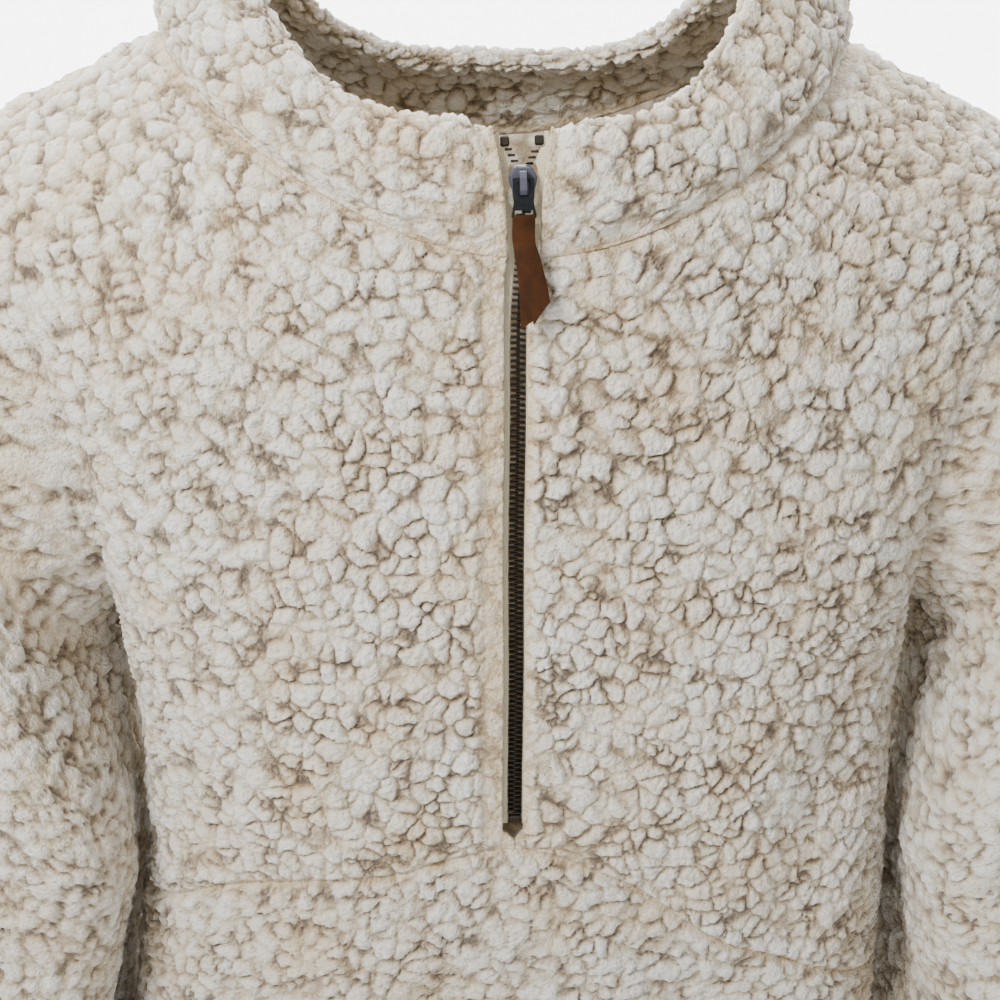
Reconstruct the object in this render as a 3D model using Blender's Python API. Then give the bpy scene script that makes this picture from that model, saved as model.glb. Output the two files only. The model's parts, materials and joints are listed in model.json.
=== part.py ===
"""Sherpa fleece half-zip pullover, filled out and hollow, at real size.

Axes: +X is the right of the view on the front, -Y is the front, +Z is up.
Origin: between the two neck points, where the collar meets the shoulder seams.
Work is done in millimetres and turned to metres when a mesh is made.
"""

import math

import bmesh
import bpy
from mathutils import Matrix, Vector

# Driving dimensions, in millimetres
MM = 0.001
CLOTH = 8.0
PRESSED = 2.6
SEAM_GAP = 0.3
NECK_HALF = 142.0
SHOULDER_SLOPE = 0.477
TIP_X = 240.0
TIP_Z = -(TIP_X - NECK_HALF) * SHOULDER_SLOPE
UNDERARM_Z = -265.0
ARMHOLE_DEPTH = 80.0
CENTRE_LEVEL = -232.0
HEM_Z = -700.0
SECTION_POWER = 3.2
NECK_ROUNDING = 140.0
TIP_ROUNDING = 92.0
FRONT_NECK_DROP = 66.0
BACK_NECK_DROP = 60.0
NECKLINE_POWER = 1.75
LEAN = 0.035
LEAN_BOTTOM_Z = -300.0
LEAN_TOP_Z = -150.0
NECK_UPTURN = 0.6
ARMHOLE_FLARE = 0.45
PILE_RISE = 14.0
ZIP_PILE_RISE = 16.0
COLLAR_PILE_RISE = 18.0
SWAY = 12.5
SWAY_TOP_Z = -330.0
SWAY_BOTTOM_Z = -550.0

# Side half-width by height, and depth of the front and of the back at the middle
SIDE_HALF_WIDTH = ((-265, 184), (-295, 181), (-360, 184), (-460, 193), (-580, 199), (-700, 203))
FRONT_DEPTH = ((-60, 108), (-150, 114), (-265, 118), (-400, 117), (-550, 113), (-700, 112))
BACK_DEPTH = ((-55, 92), (-150, 99), (-265, 101), (-400, 95), (-550, 99), (-700, 106))

# Distance of the armhole seam from the middle, by height
ARMHOLE_X = ((-265, 184), (-205, 180), (-155, 183), (-112, 196), (-76, 217), (-47, 240))

# How far the centre front wanders off the middle, by height
CENTRE_FRONT = (
    (-700, -2),
    (-420, -2),
    (-319, -2),
    (-250, 0),
    (-190, 1),
    (-130, 3),
    (-85, 4),
    (-47, 9),
    (-20, 6),
)

# Seam across the front under the zip: height by place across
LOWER_SEAM = (
    (-190, -394),
    (-120, -359),
    (-60, -349),
    (-2, -335),
    (45, -356),
    (88, -393),
    (133, -417),
    (190, -452),
)

# Folds of the body: face, ends (x, z), half-width and depth of the trough
BODY_FOLDS = (
    ("front", 150, -255, 118, -420, 20, 7),
    ("front", 60, -372, 128, -520, 24, 8),
    ("front", -168, -270, -120, -430, 22, 6),
    ("front", -30, -420, 20, -560, 26, 6),
    ("front", -110, -470, -60, -640, 22, 7),
    ("front", 90, -560, 60, -690, 20, 6),
    ("back", 150, -240, 70, -330, 20, 8),
    ("back", -150, -250, -60, -350, 22, 8),
    ("back", 30, -380, 90, -560, 24, 7),
    ("back", -110, -420, -70, -600, 22, 8),
    ("back", 120, -520, 80, -680, 20, 6),
    ("back", -20, -520, 10, -690, 24, 6),
)

# Sleeve stations: outer line (x, z), inner line (x, z), half-depth, forward lean
SLEEVE_STATIONS = (
    (266, -63, 190, -275, 86, -6),
    (292, -87, 187, -293, 88, -15),
    (310, -121, 185, -315, 88, -22),
    (321, -163, 184, -340, 87, -28),
    (327, -211, 184, -368, 86, -33),
    (331, -263, 189, -398, 84, -36),
    (334, -317, 195, -430, 82, -38),
    (336, -369, 200, -462, 79, -40),
    (336, -420, 205, -494, 76, -42),
    (335, -468, 210, -526, 72, -43),
    (332, -514, 216, -556, 68, -44),
    (328, -560, 221, -586, 64, -45),
    (324, -604, 227, -616, 60, -46),
    (320, -640, 232, -648, 56, -47),
)
SLEEVE_FULLNESS = 1.18
SLEEVE_BACK_INWARD = 18.0

# How far a sleeve's front is drawn towards the body, above and below the elbow
LEFT_SLEEVE_INWARD = (17.0, 27.0)
RIGHT_SLEEVE_INWARD = (6.0, -8.0)

# Folds of a sleeve: station, angle round it in degrees, spread in stations and in degrees, depth
SLEEVE_FOLDS = (
    (1.5, -60, 1.1, 30, 6),
    (3.0, -120, 1.2, 34, 7),
    (5.6, -20, 0.8, 50, 8),
    (6.8, -75, 0.7, 46, 9),
    (7.6, -150, 0.8, 44, 7),
    (8.6, -30, 0.8, 48, 7),
    (10.4, -80, 0.8, 50, 6),
    (12.0, 10, 0.7, 46, 5),
    (12.4, -160, 0.7, 46, 5),
)

# Collar: a folded, doubled band
COLLAR_HALF_THICKNESS = 7.0
COLLAR_SEAM_HALF = 1.9
COLLAR_GAP = 0.45
ARMHOLE_GAP = 0.35
RIM_HALF_WIDTH = 104.0
RIM_FRONT_Y = -99.0
RIM_BACK_Y = 50.0
RIM_LOW_Z = -22.5
RIM_RISE = 60.0
RIM_POWER = 3.6
COLLAR_BULGE = 4.0
COLLAR_BEND = 0.62
COLLAR_FOOT_SINK = 0.2

# Zip
CHAIN_WIDTH = 5.9
CHAIN_THICKNESS = 2.6
TAPE_WIDTH = 10.0
TAPE_THICKNESS = 0.9
LEFT_EDGE = 5.4
RIGHT_EDGE = 3.7
COLLAR_EDGE = 6.4
RIM_EDGE = 10.5
ZIP_BOTTOM_Z = -319.0
ZIP_BEHIND_COLLAR = 3.4
ZIP_BEHIND_CLOTH = 0.9
ZIP_STEP = 9.0
STOP_Z = -26.4
STOP_APART = 6.4
STOP_CLEAR = 2.4
TEETH_BOTTOM_Z = -34.2
TEETH_APART = 2.6
SLIDER_Z = -42.1
SLIDER_LENGTH = 14.4
SLIDER_THICKNESS = 6.0
SLIDER_HALF_WIDTH = 5.2
BRIDGE_RISE = 4.0
BRIDGE_WIDTH = 2.6
BRIDGE_METAL = 1.3
PULL_BAR = 0.75
PULL_ABOVE_PLATE = 1.35
PULL_ABOVE_MIDDLE = 2.6
PULL_TILT = 13.0
PULL_LENGTH = 14.4
PULL_HALF_WIDTH = 3.9
PULL_WAIST = 3.6
PULL_FOOT = 4.7
PULL_WINDOW = 2.2
PULL_WINDOW_FOOT = 6.4
PULL_EYE = 3.4
LEATHER_THICKNESS = 3.0
LEATHER_LEAN = 2.4

# Rows and columns of the grids
COLUMN_ANGLES = (0, 3, 9, 18, 30, 44, 58, 70, 80, 90)
SHOULDER_COLUMNS = (0.66, 0.76, 0.86, 0.93, 0.975, 1.0)
ARM_ROWS = 12
MIDDLE_ROWS = 4
LOWER_ROWS = 8
COLLAR_SHARES = (0.0, 0.1, 0.26, 0.45, 0.64, 0.82, 1.0)
RIM_STEPS = ((4.6, 5.2), (6.9, 1.6))


def table_value(table, at):
    """The value at a place in a (place, value) table, on a smooth curve through its rows."""
    rows = sorted(table)
    if at <= rows[0][0]:
        return rows[0][1]
    if at >= rows[-1][0]:
        return rows[-1][1]
    index = next(i for i in range(len(rows) - 1) if at <= rows[i + 1][0])
    (x0, y0), (x1, y1) = rows[index], rows[index + 1]
    before = rows[max(index - 1, 0)]
    after = rows[min(index + 2, len(rows) - 1)]
    slope0 = (y1 - before[1]) / (x1 - before[0])
    slope1 = (after[1] - y0) / (after[0] - x0)
    k = (at - x0) / (x1 - x0)
    span = x1 - x0
    return (
        (2 * k**3 - 3 * k**2 + 1) * y0
        + (k**3 - 2 * k**2 + k) * span * slope0
        + (3 * k**2 - 2 * k**3) * y1
        + (k**3 - k**2) * span * slope1
    )


def mix(a, b, share):
    return a + (b - a) * share


def eased(k):
    """A share from 0 to 1 that starts and ends softly."""
    k = min(max(k, 0.0), 1.0)
    return k * k * (3 - 2 * k)


def shoulder_z(x):
    return -(abs(x) - NECK_HALF) * SHOULDER_SLOPE


def armhole_x(z):
    """The armhole's distance from the middle, from the underarm up to the shoulder tip."""
    return table_value(ARMHOLE_X, z)


def section_half_width(z, depth):
    """Half-width of the whole section at a height, which passes the armhole above the underarm."""
    if z <= UNDERARM_Z:
        return table_value(SIDE_HALF_WIDTH, z)
    share = min((z - UNDERARM_Z) / (TIP_Z - UNDERARM_Z), 1.0)
    opening = ARMHOLE_DEPTH * math.sqrt(1 - (1 - min(share / 0.55, 1.0)) ** 2)
    cut = (1 - (opening / depth) ** SECTION_POWER) ** (1 / SECTION_POWER)
    return armhole_x(z) / cut


def fold_depth(face, x, z):
    """How far the largest folds press the body in at a place."""
    total = 0.0
    for where, x0, z0, x1, z1, half, depth in BODY_FOLDS:
        if where != face:
            continue
        run = Vector((x1 - x0, z1 - z0))
        to_place = Vector((x - x0, z - z0))
        share = min(max(to_place.dot(run) / run.length_squared, 0.0), 1.0)
        away = (to_place - run * share).length
        taper = 0.35 + 0.65 * math.sin(math.pi * min(max(share, 0.08), 0.92))
        total += depth * taper * math.exp(-((away / half) ** 2))
    return total


def body_depth(face, x, z):
    """Distance of the outer surface from the plane of the side seams."""
    middle = table_value(FRONT_DEPTH if face == "front" else BACK_DEPTH, z)
    half = section_half_width(z, middle)
    across = max(1 - (abs(x) / half) ** SECTION_POWER, 0.0) ** (1 / SECTION_POWER)
    near_tip = eased((abs(x) - NECK_HALF) / (TIP_X - NECK_HALF))
    rounding = mix(NECK_ROUNDING, TIP_ROUNDING, near_tip)
    below = min(max((shoulder_z(x) - z) / rounding, 0.0), 1.0)
    shoulder = math.sqrt(1 - (1 - below) ** 2)
    return (middle - fold_depth(face, x, z)) * across * shoulder


def body_point(face, x, z):
    sign = -1 if face == "front" else 1
    return Vector((x, sign * body_depth(face, x, z), z))


def body_normal(face, x, z):
    step = 0.8
    slope_x = (body_depth(face, x + step, z) - body_depth(face, x - step, z)) / (2 * step)
    slope_z = (body_depth(face, x, z + step) - body_depth(face, x, z - step)) / (2 * step)
    sign = -1 if face == "front" else 1
    return Vector((-slope_x, sign, -slope_z)).normalized()


def neckline_z(face, x):
    drop = FRONT_NECK_DROP if face == "front" else BACK_NECK_DROP
    return -drop * (1 - min(abs(x) / NECK_HALF, 1.0) ** NECKLINE_POWER)


def neckline_normal(point):
    outward = Vector((point.x, (point.y + 12) * 1.2, 0)).normalized()
    return (outward + Vector((0, 0, NECK_UPTURN))).normalized()


def armhole_normal(point):
    side = 1 if point.x > 0 else -1
    middle_z = (TIP_Z + UNDERARM_Z) / 2
    half_height = (TIP_Z - UNDERARM_Z) / 2
    round_it = Vector((0, point.y / ARMHOLE_DEPTH, (point.z - middle_z) / half_height)).normalized()
    return (round_it + Vector((ARMHOLE_FLARE * side, 0, 0))).normalized()


def half_columns():
    """Places across a half panel, from the middle at 0 to the armhole or side seam at 1."""
    neck = NECK_HALF / TIP_X
    return [neck * math.sin(math.radians(angle)) for angle in COLUMN_ANGLES] + list(SHOULDER_COLUMNS)


def body_levels():
    """The rows of a body panel as (stretch, share down it)."""
    rows = [("arm", i / ARM_ROWS) for i in range(ARM_ROWS + 1)]
    rows += [("middle", i / MIDDLE_ROWS) for i in range(1, MIDDLE_ROWS + 1)]
    rows += [("lower", i / LOWER_ROWS) for i in range(1, LOWER_ROWS + 1)]
    return rows


def seam_z(face, side, across):
    """Height of the seam under the zip, and of the back's row that meets it at the side seam."""
    if face == "front":
        return table_value(LOWER_SEAM, mix(table_value(CENTRE_FRONT, -325), side * 190, across))
    return mix(-350, table_value(LOWER_SEAM, side * 190), across**2)


def level_z(face, side, across, level):
    """Height of a place in a panel's row."""
    stretch, share = level
    x_top = across * TIP_X
    top = neckline_z(face, x_top) if x_top < NECK_HALF else shoulder_z(x_top)
    under = mix(CENTRE_LEVEL, UNDERARM_Z, across**2)
    seam = seam_z(face, side, across)
    if stretch == "arm":
        down = 0.5 - 0.5 * math.cos(math.pi * share)
        return mix(top, under, mix(share, down, across**2))
    if stretch == "middle":
        return mix(under, seam, share)
    hem = HEM_Z + 3.0 * math.sin(5.0 * across + (1 if face == "front" else 2.5)) * (1 - across)
    return mix(seam, hem, share)


def side_x(z):
    return armhole_x(z) if z > UNDERARM_Z else table_value(SIDE_HALF_WIDTH, z)


def zip_edge(side, z):
    """Distance of a front edge from the middle of the zip. The edges meet below its foot."""
    plain = LEFT_EDGE if side < 0 else RIGHT_EDGE
    near_collar = eased((z + 92) / 22)
    above_foot = eased((z - ZIP_BOTTOM_Z + 12) / 6)
    return mix(plain, COLLAR_EDGE, near_collar) * above_foot


def panel_place(face, side, across, level, cut_open):
    """(x, z) of a panel's grid place. across runs from 0 at the middle to 1 at the side."""
    z = level_z(face, side, across, level)
    edge = side * side_x(level_z(face, side, 1.0, level))
    middle = table_value(CENTRE_FRONT, z) if face == "front" else 0.0
    if cut_open:
        middle += side * zip_edge(side, z)
    x = mix(middle, edge, across)
    if level == ("arm", 0.0) and across * TIP_X >= NECK_HALF:
        z = shoulder_z(x)
    return x, z


def seam_normal(face, side, across, level, point, plain):
    """The cloth's direction at a seam, the same for both pieces that meet there."""
    stretch, share = level
    if stretch == "arm" and share == 0.0:
        if across * TIP_X < NECK_HALF - 0.01:
            return neckline_normal(point)
        if across * TIP_X < NECK_HALF + 0.01:
            return Vector((0.85 * side, 0, 0.53)).normalized()
        return Vector((SHOULDER_SLOPE * side, 0, 1)).normalized()
    if across == 1.0:
        return armhole_normal(point) if stretch == "arm" else Vector((side, 0, 0))
    return plain


def pressed(distance, reach=PILE_RISE):
    """Share of the pile that stands at this distance from a sewn-down edge."""
    return eased(distance / reach)


def leaned(point):
    """A cloth point in metres: the shoulders stand lower on the right, and the hem hangs to the left."""
    lean = LEAN * eased((point.z - LEAN_BOTTOM_Z) / (LEAN_TOP_Z - LEAN_BOTTOM_Z))
    sway = SWAY * eased((SWAY_TOP_Z - point.z) / (SWAY_TOP_Z - SWAY_BOTTOM_Z))
    return Vector((point.x - sway, point.y, point.z - lean * point.x)) * MM


def shell(name, outer, inner, material, closed=False):
    """A closed wall between two grids of points, built from one Blender grid and its extrusion."""
    rows, columns = len(outer), len(outer[0])
    bm = bmesh.new()
    bmesh.ops.create_grid(bm, x_segments=columns - 1, y_segments=rows - 1, size=0.5)
    placed = sorted(bm.verts, key=lambda v: (round(-v.co.y, 4), round(v.co.x, 4)))
    inside_of = {}
    for index, vert in enumerate(placed):
        row, column = divmod(index, columns)
        vert.co = leaned(outer[row][column])
        inside_of[tuple(vert.co)] = leaned(inner[row][column])
    if closed:
        bmesh.ops.remove_doubles(bm, verts=bm.verts, dist=1e-6)
    skin = bmesh.ops.extrude_face_region(bm, geom=bm.faces[:], use_keep_orig=True)
    for item in skin["geom"]:
        if isinstance(item, bmesh.types.BMVert):
            item.co = inside_of[tuple(item.co)]
    bmesh.ops.recalc_face_normals(bm, faces=bm.faces)
    return finished(name, bm, material)


def finished(name, bm, material):
    mesh = bpy.data.meshes.new(name)
    bm.to_mesh(mesh)
    bm.free()
    mesh.shade_smooth()
    mesh.set_sharp_from_angle(angle=math.radians(50))
    mesh.materials.append(material)
    thing = bpy.data.objects.new(name, mesh)
    bpy.context.scene.collection.objects.link(thing)
    return thing


def plain_material(name, colour, roughness, metallic=0.0):
    material = bpy.data.materials.new(name)
    material.use_nodes = True
    shader = material.node_tree.nodes["Principled BSDF"]
    shader.inputs["Base Color"].default_value = (*colour, 1.0)
    shader.inputs["Roughness"].default_value = roughness
    shader.inputs["Metallic"].default_value = metallic
    return material


def drawn_in(grid, normals, closed=False, gap=SEAM_GAP / 2):
    """The grid with its edges moved inward by half a seam gap."""
    rows, columns = len(grid), len(grid[0])
    moved = [[point.copy() for point in row] for row in grid]
    for row in range(rows):
        for column in range(columns):
            towards = []
            if row in (0, rows - 1):
                towards.append(grid[row + (1 if row == 0 else -1)][column] - grid[row][column])
                along_row = grid[row][min(column + 1, columns - 1)] - grid[row][max(column - 1, 0)]
            if not closed and column in (0, columns - 1):
                inward = grid[row][column + (1 if column == 0 else -1)] - grid[row][column]
                along_column = grid[min(row + 1, rows - 1)][column] - grid[max(row - 1, 0)][column]
                towards.append(inward)
            for index, direction in enumerate(towards):
                edge = along_row if row in (0, rows - 1) and index == 0 else along_column
                for other in (normals[row][column], edge.normalized()):
                    direction = direction - other * direction.dot(other)
                if direction.length > 1e-6:
                    moved[row][column] = moved[row][column] + direction.normalized() * gap
    return moved


def body_panel(name, face, halves, levels, material, cut_open=False, press=()):
    """A front or back panel between its seams. press names the edges whose pile is sewn flat."""
    shares = half_columns()
    columns = []
    for side in halves:
        part = [(side, share) for share in shares]
        columns += list(reversed(part))[: -1 if len(halves) == 2 else None] if side < 0 else part
    points, normals, walls = [], [], []
    for level in levels:
        point_row, normal_row, wall_row = [], [], []
        for side, across in columns:
            x, z = panel_place(face, side, across, level, cut_open)
            point = body_point(face, x, z)
            plain = body_normal(face, x, z)
            stand = 1.0
            if "top" in press and level[0] == "arm" and across * TIP_X < NECK_HALF + 12:
                top = neckline_z(face, across * TIP_X)
                stand = min(stand, pressed(top - z))
            if "zip" in press:
                from_edge = abs(x - table_value(CENTRE_FRONT, z)) - zip_edge(side, z)
                stand = min(stand, pressed(from_edge, ZIP_PILE_RISE))
            if "seam" in press:
                stand = min(stand, pressed(abs(z - seam_z(face, side, across))))
            point_row.append(point)
            normal_row.append(seam_normal(face, side, across, level, point, plain))
            wall_row.append(mix(PRESSED, CLOTH, stand))
        points.append(point_row)
        normals.append(normal_row)
        walls.append(wall_row)
    moved = drawn_in(points, normals)
    count = range(len(columns))
    rows = range(len(levels))
    outer = [[moved[r][c] - normals[r][c] * (CLOTH - walls[r][c]) for c in count] for r in rows]
    inner = [[moved[r][c] - normals[r][c] * CLOTH for c in count] for r in rows]
    return shell(name, outer, inner, material)


def with_pressed_rows(levels, stretch, near_start):
    """The same rows with two more close to a sewn-down edge, so that the flat band keeps its width."""
    extra = [(stretch, 0.035), (stretch, 0.08)] if near_start else [(stretch, 0.9), (stretch, 0.955)]
    order = {"arm": 0, "middle": 1, "lower": 2}
    return sorted(set(levels + extra), key=lambda level: (order[level[0]], level[1]))


def armhole_ring(side):
    """The armhole's points round it: down the front from the shoulder tip, and up the back."""
    arm = [level for level in with_pressed_rows(body_levels(), "arm", True) if level[0] == "arm"]
    front = [panel_place("front", side, 1.0, level, False) for level in arm]
    ring = [body_point("front", x, z) for x, z in front]
    ring += [body_point("back", x, z) for x, z in reversed(front[:-1])]
    return ring


def sleeve(name, side, inward, material):
    """A tube from the armhole down to its open end, its front and back drawn in round the body's side."""
    ring = armhole_ring(side)
    count = len(ring) - 1
    middle_z = (TIP_Z + UNDERARM_Z) / 2
    half_height = (TIP_Z - UNDERARM_Z) / 2
    angles = []
    for index, point in enumerate(ring):
        angle = math.degrees(math.atan2((point.z - middle_z) / half_height, -point.y / ARMHOLE_DEPTH))
        if index > count / 2 and angle > 0:
            angle -= 360
        angles.append(angle)
    angles[0], angles[count // 2], angles[-1] = 90.0, -90.0, -270.0
    points = [[point.copy() for point in ring]]
    for number, station in enumerate(SLEEVE_STATIONS):
        outer_x, outer_z, inner_x, inner_z, depth, lean = station
        top = Vector((side * outer_x, lean, outer_z))
        under = Vector((side * inner_x, lean, inner_z))
        row = []
        for index in range(count + 1):
            even = 90.0 - 360.0 * index / count
            turn = mix(angles[index], even, eased(number / 4))
            press = 0.0
            for at, where, spread, width, fold in SLEEVE_FOLDS:
                away = (turn - where + 180) % 360 - 180
                press += fold * math.exp(-(((number - at) / spread) ** 2) - (away / width) ** 2)
            size = 1 - press / depth
            turn = math.radians(turn)
            half = (top - under) / 2
            fuller = mix(1.0, SLEEVE_FULLNESS, eased(number / 3)) - 1
            corner = 1 + fuller * math.sin(2 * turn) ** 2
            point = (top + under) / 2 + half * math.sin(turn) * size * corner
            point.y -= depth * math.cos(turn) * size * corner
            shift = mix(*inward, eased((number - 5) / 4)) * eased(number / 4)
            point.x -= side * shift * max(math.cos(turn), 0.0)
            point.x -= side * SLEEVE_BACK_INWARD * max(-math.cos(turn), 0.0) * eased(number / 4 - 1)
            row.append(point)
        row[-1] = row[0].copy()
        points.append(row)
    normals = grid_normals(points, closed=True, flip=side < 0)
    normals[0] = [armhole_normal(point) for point in ring]
    normals[0][-1] = normals[0][0]
    moved = drawn_in(points, normals, closed=True, gap=ARMHOLE_GAP)
    inner = [[p - n * CLOTH for p, n in zip(row, way)] for row, way in zip(moved, normals)]
    return shell(name, moved, inner, material, closed=True)


def grid_normals(points, closed=False, flip=False):
    """The direction out of a grid at each of its points."""
    rows, columns = len(points), len(points[0])
    normals = []
    for row in range(rows):
        line = []
        for column in range(columns):
            before, after = max(column - 1, 0), min(column + 1, columns - 1)
            if closed and column in (0, columns - 1):
                before, after = columns - 2, 1
            across = points[row][after] - points[row][before]
            down = points[min(row + 1, rows - 1)][column] - points[max(row - 1, 0)][column]
            normal = across.cross(down).normalized()
            line.append(-normal if flip else normal)
        normals.append(line)
    return normals


def collar_profile(base, crest, outward):
    """Mid-line of the collar's wall from its seam to its rim, on one quadratic curve."""
    control = base + Vector((0, 0, COLLAR_BEND * (crest.z - base.z))) + outward * COLLAR_BULGE

    def at(share):
        return base * (1 - share) ** 2 + control * 2 * share * (1 - share) + crest * share**2

    return at


def collar_line(face, side, angle):
    """The collar's mid-line above one place of the neckline."""
    turn = math.radians(angle)
    x = NECK_HALF * math.sin(turn)
    z = neckline_z(face, x)
    middle = table_value(CENTRE_FRONT, z) if face == "front" else 0.0
    edge = zip_edge(side, z) if face == "front" else 0.0
    across = x / TIP_X
    base_x = mix(middle + side * edge, side * TIP_X, across)
    base = body_point(face, base_x, z)
    normal = neckline_normal(base)
    if angle == 90:
        normal = Vector((0.85 * side, 0, 0.53)).normalized()
    base = base - normal * (CLOTH - COLLAR_SEAM_HALF - COLLAR_FOOT_SINK)
    centre_y = (RIM_FRONT_Y + RIM_BACK_Y) / 2
    reach_y = (RIM_FRONT_Y - RIM_BACK_Y) / 2 if face == "front" else (RIM_BACK_Y - RIM_FRONT_Y) / 2
    rim_z = RIM_LOW_Z + RIM_RISE * math.sin(turn) ** RIM_POWER
    rim_middle = table_value(CENTRE_FRONT, rim_z) if face == "front" else 0.0
    rim_edge = RIM_EDGE if face == "front" else 0.0
    rim_x = mix(rim_middle + side * rim_edge, side * RIM_HALF_WIDTH, math.sin(turn))
    crest = Vector((rim_x, centre_y + reach_y * math.cos(turn), rim_z))
    outward = Vector((normal.x, normal.y, 0)).normalized()
    return collar_profile(base, crest, outward), normal


def collar(material):
    """The stand collar, doubled over at its rim, from one zip edge round the back to the other."""
    lines = [("front", -1, angle) for angle in COLUMN_ANGLES]
    lines += [("back", -1, angle) for angle in reversed(COLUMN_ANGLES[:-1])]
    lines += [("back", 1, angle) for angle in COLUMN_ANGLES[1:]]
    lines += [("front", 1, angle) for angle in reversed(COLUMN_ANGLES[:-1])]
    profiles = [collar_line(*line) for line in lines]
    points = [[profile(share) for profile, _ in profiles] for share in COLLAR_SHARES]
    normals = grid_normals(points, flip=True)
    normals[0] = [normal for _, normal in profiles]
    halves = []
    for row, share in enumerate(COLLAR_SHARES):
        swell = mix(COLLAR_SEAM_HALF, COLLAR_HALF_THICKNESS, eased(share / 0.3))
        line = []
        for face, _, angle in lines:
            from_zip = angle * 2.4 if face == "front" else 60.0
            line.append(mix(min(2.4, swell), swell, pressed(from_zip, COLLAR_PILE_RISE)))
        halves.append(line)
    for rise, half in RIM_STEPS:
        top = len(COLLAR_SHARES) - 1
        tops, ways, sizes = [], [], []
        for column in range(len(lines)):
            up = (points[top][column] - points[top - 1][column]).normalized()
            share = halves[top][column] / COLLAR_HALF_THICKNESS
            tops.append(points[top][column] + up * rise * max(share, 0.45))
            ways.append(normals[top][column])
            sizes.append(half * share)
        points.append(tops)
        normals.append(ways)
        halves.append(sizes)
    moved = drawn_in(points, normals, gap=COLLAR_GAP)
    outer = [[p + n * h for p, n, h in zip(*rows)] for rows in zip(moved, normals, halves)]
    inner = [[p - n * h for p, n, h in zip(*rows)] for rows in zip(moved, normals, halves)]
    return shell("collar", outer, inner, material)


def zip_line():
    """Points and outward directions along the middle of the zip, from the rim down."""
    left, _ = collar_line("front", -1, 0)
    right, _ = collar_line("front", 1, 0)
    line = []
    steps = 14
    for step in range(steps + 1):
        share = 1 - step / steps
        point = (left(share) + right(share)) / 2
        ahead = (left(share + 0.01) + right(share + 0.01)) / 2
        normal = Vector((1, 0, 0)).cross(ahead - point).normalized()
        line.append((point - normal * ZIP_BEHIND_COLLAR, normal))
    z = -FRONT_NECK_DROP - 8
    while z > ZIP_BOTTOM_Z - 8:
        x = table_value(CENTRE_FRONT, z)
        normal = body_normal("front", x, z)
        line.append((body_point("front", x, z) - normal * (CLOTH + ZIP_BEHIND_CLOTH), normal))
        z -= ZIP_STEP
    for _ in range(3):
        eased_line = [line[0]]
        for i in range(1, len(line) - 1):
            around = line[i - 1][0] + line[i][0] + line[i + 1][0]
            eased_line.append((around / 3, line[i][1]))
        line = eased_line + [line[-1]]
    above = line[0][0] + (line[0][0] - line[1][0]).normalized() * 8
    return [(above, line[0][1])] + line


def zip_place(line, z):
    """(point, outward direction, direction down) on the zip's middle line at a height."""
    for (p, n), (q, m) in zip(line, line[1:]):
        if p.z >= z >= q.z:
            share = (p.z - z) / (p.z - q.z)
            return p.lerp(q, share), n.lerp(m, share).normalized(), (q - p).normalized()
    raise ValueError(z)


def zip_frame(line, z):
    """Point on the zip's middle line at a height, with its right, outward and down directions."""
    point, normal, down = zip_place(line, z)
    right = down.cross(normal).normalized()
    if right.x < 0:
        right = -right
    return point, right, normal, down


def strip(name, line, heights, edges, thickness, material):
    """A flat strip along the zip. edges(z) gives its two edges, to the right of the zip's middle."""
    steps = len(heights) - 1
    bm = bmesh.new()
    bmesh.ops.create_grid(bm, x_segments=1, y_segments=steps, size=0.5)
    placed = sorted(bm.verts, key=lambda v: (round(-v.co.y, 4), round(v.co.x, 4)))
    inside_of = {}
    for index, vert in enumerate(placed):
        row, column = divmod(index, 2)
        point, right, normal, _ = zip_frame(line, heights[row])
        place = point + right * edges(heights[row])[column]
        vert.co = (place + normal * thickness / 2) * MM
        inside_of[tuple(vert.co)] = (place - normal * thickness / 2) * MM
    skin = bmesh.ops.extrude_face_region(bm, geom=bm.faces[:], use_keep_orig=True)
    for item in skin["geom"]:
        if isinstance(item, bmesh.types.BMVert):
            item.co = inside_of[tuple(item.co)]
    bmesh.ops.recalc_face_normals(bm, faces=bm.faces)
    return finished(name, bm, material)


def heights_between(top, bottom, step):
    count = max(round((top - bottom) / step), 1)
    return [mix(top, bottom, i / count) for i in range(count + 1)]


def opening(z):
    """Distance of a row of teeth from the middle above the slider, where the zip is open."""
    return mix(TEETH_APART, STOP_APART, (z - TEETH_BOTTOM_Z) / (STOP_Z - TEETH_BOTTOM_Z))


def tape_edges(side):
    """Inner and outer edge of a zip tape at each height."""

    def edges(z):
        inner = CHAIN_WIDTH / 2 + SEAM_GAP
        if abs(z - SLIDER_Z) < SLIDER_LENGTH / 2 + 1.0:
            inner = SLIDER_HALF_WIDTH + SEAM_GAP
        elif z > STOP_Z - STOP_CLEAR:
            inner = STOP_APART + 2.05
        elif z > TEETH_BOTTOM_Z:
            inner = opening(z) + CHAIN_WIDTH / 4 + SEAM_GAP
        behind = eased((-FRONT_NECK_DROP - 8 - z) / 6)
        visible = mix(COLLAR_EDGE, RIM_EDGE, eased((z + FRONT_NECK_DROP) / 40)) - 0.6
        outer = max(mix(visible, CHAIN_WIDTH / 2 + TAPE_WIDTH, behind), inner + 0.8)
        return sorted((side * inner, side * outer))

    return edges


def teeth_edges(side):
    """Inner and outer edge of an open row of teeth at each height."""

    def edges(z):
        return sorted((side * (opening(z) - CHAIN_WIDTH / 4), side * (opening(z) + CHAIN_WIDTH / 4)))

    return edges


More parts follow.
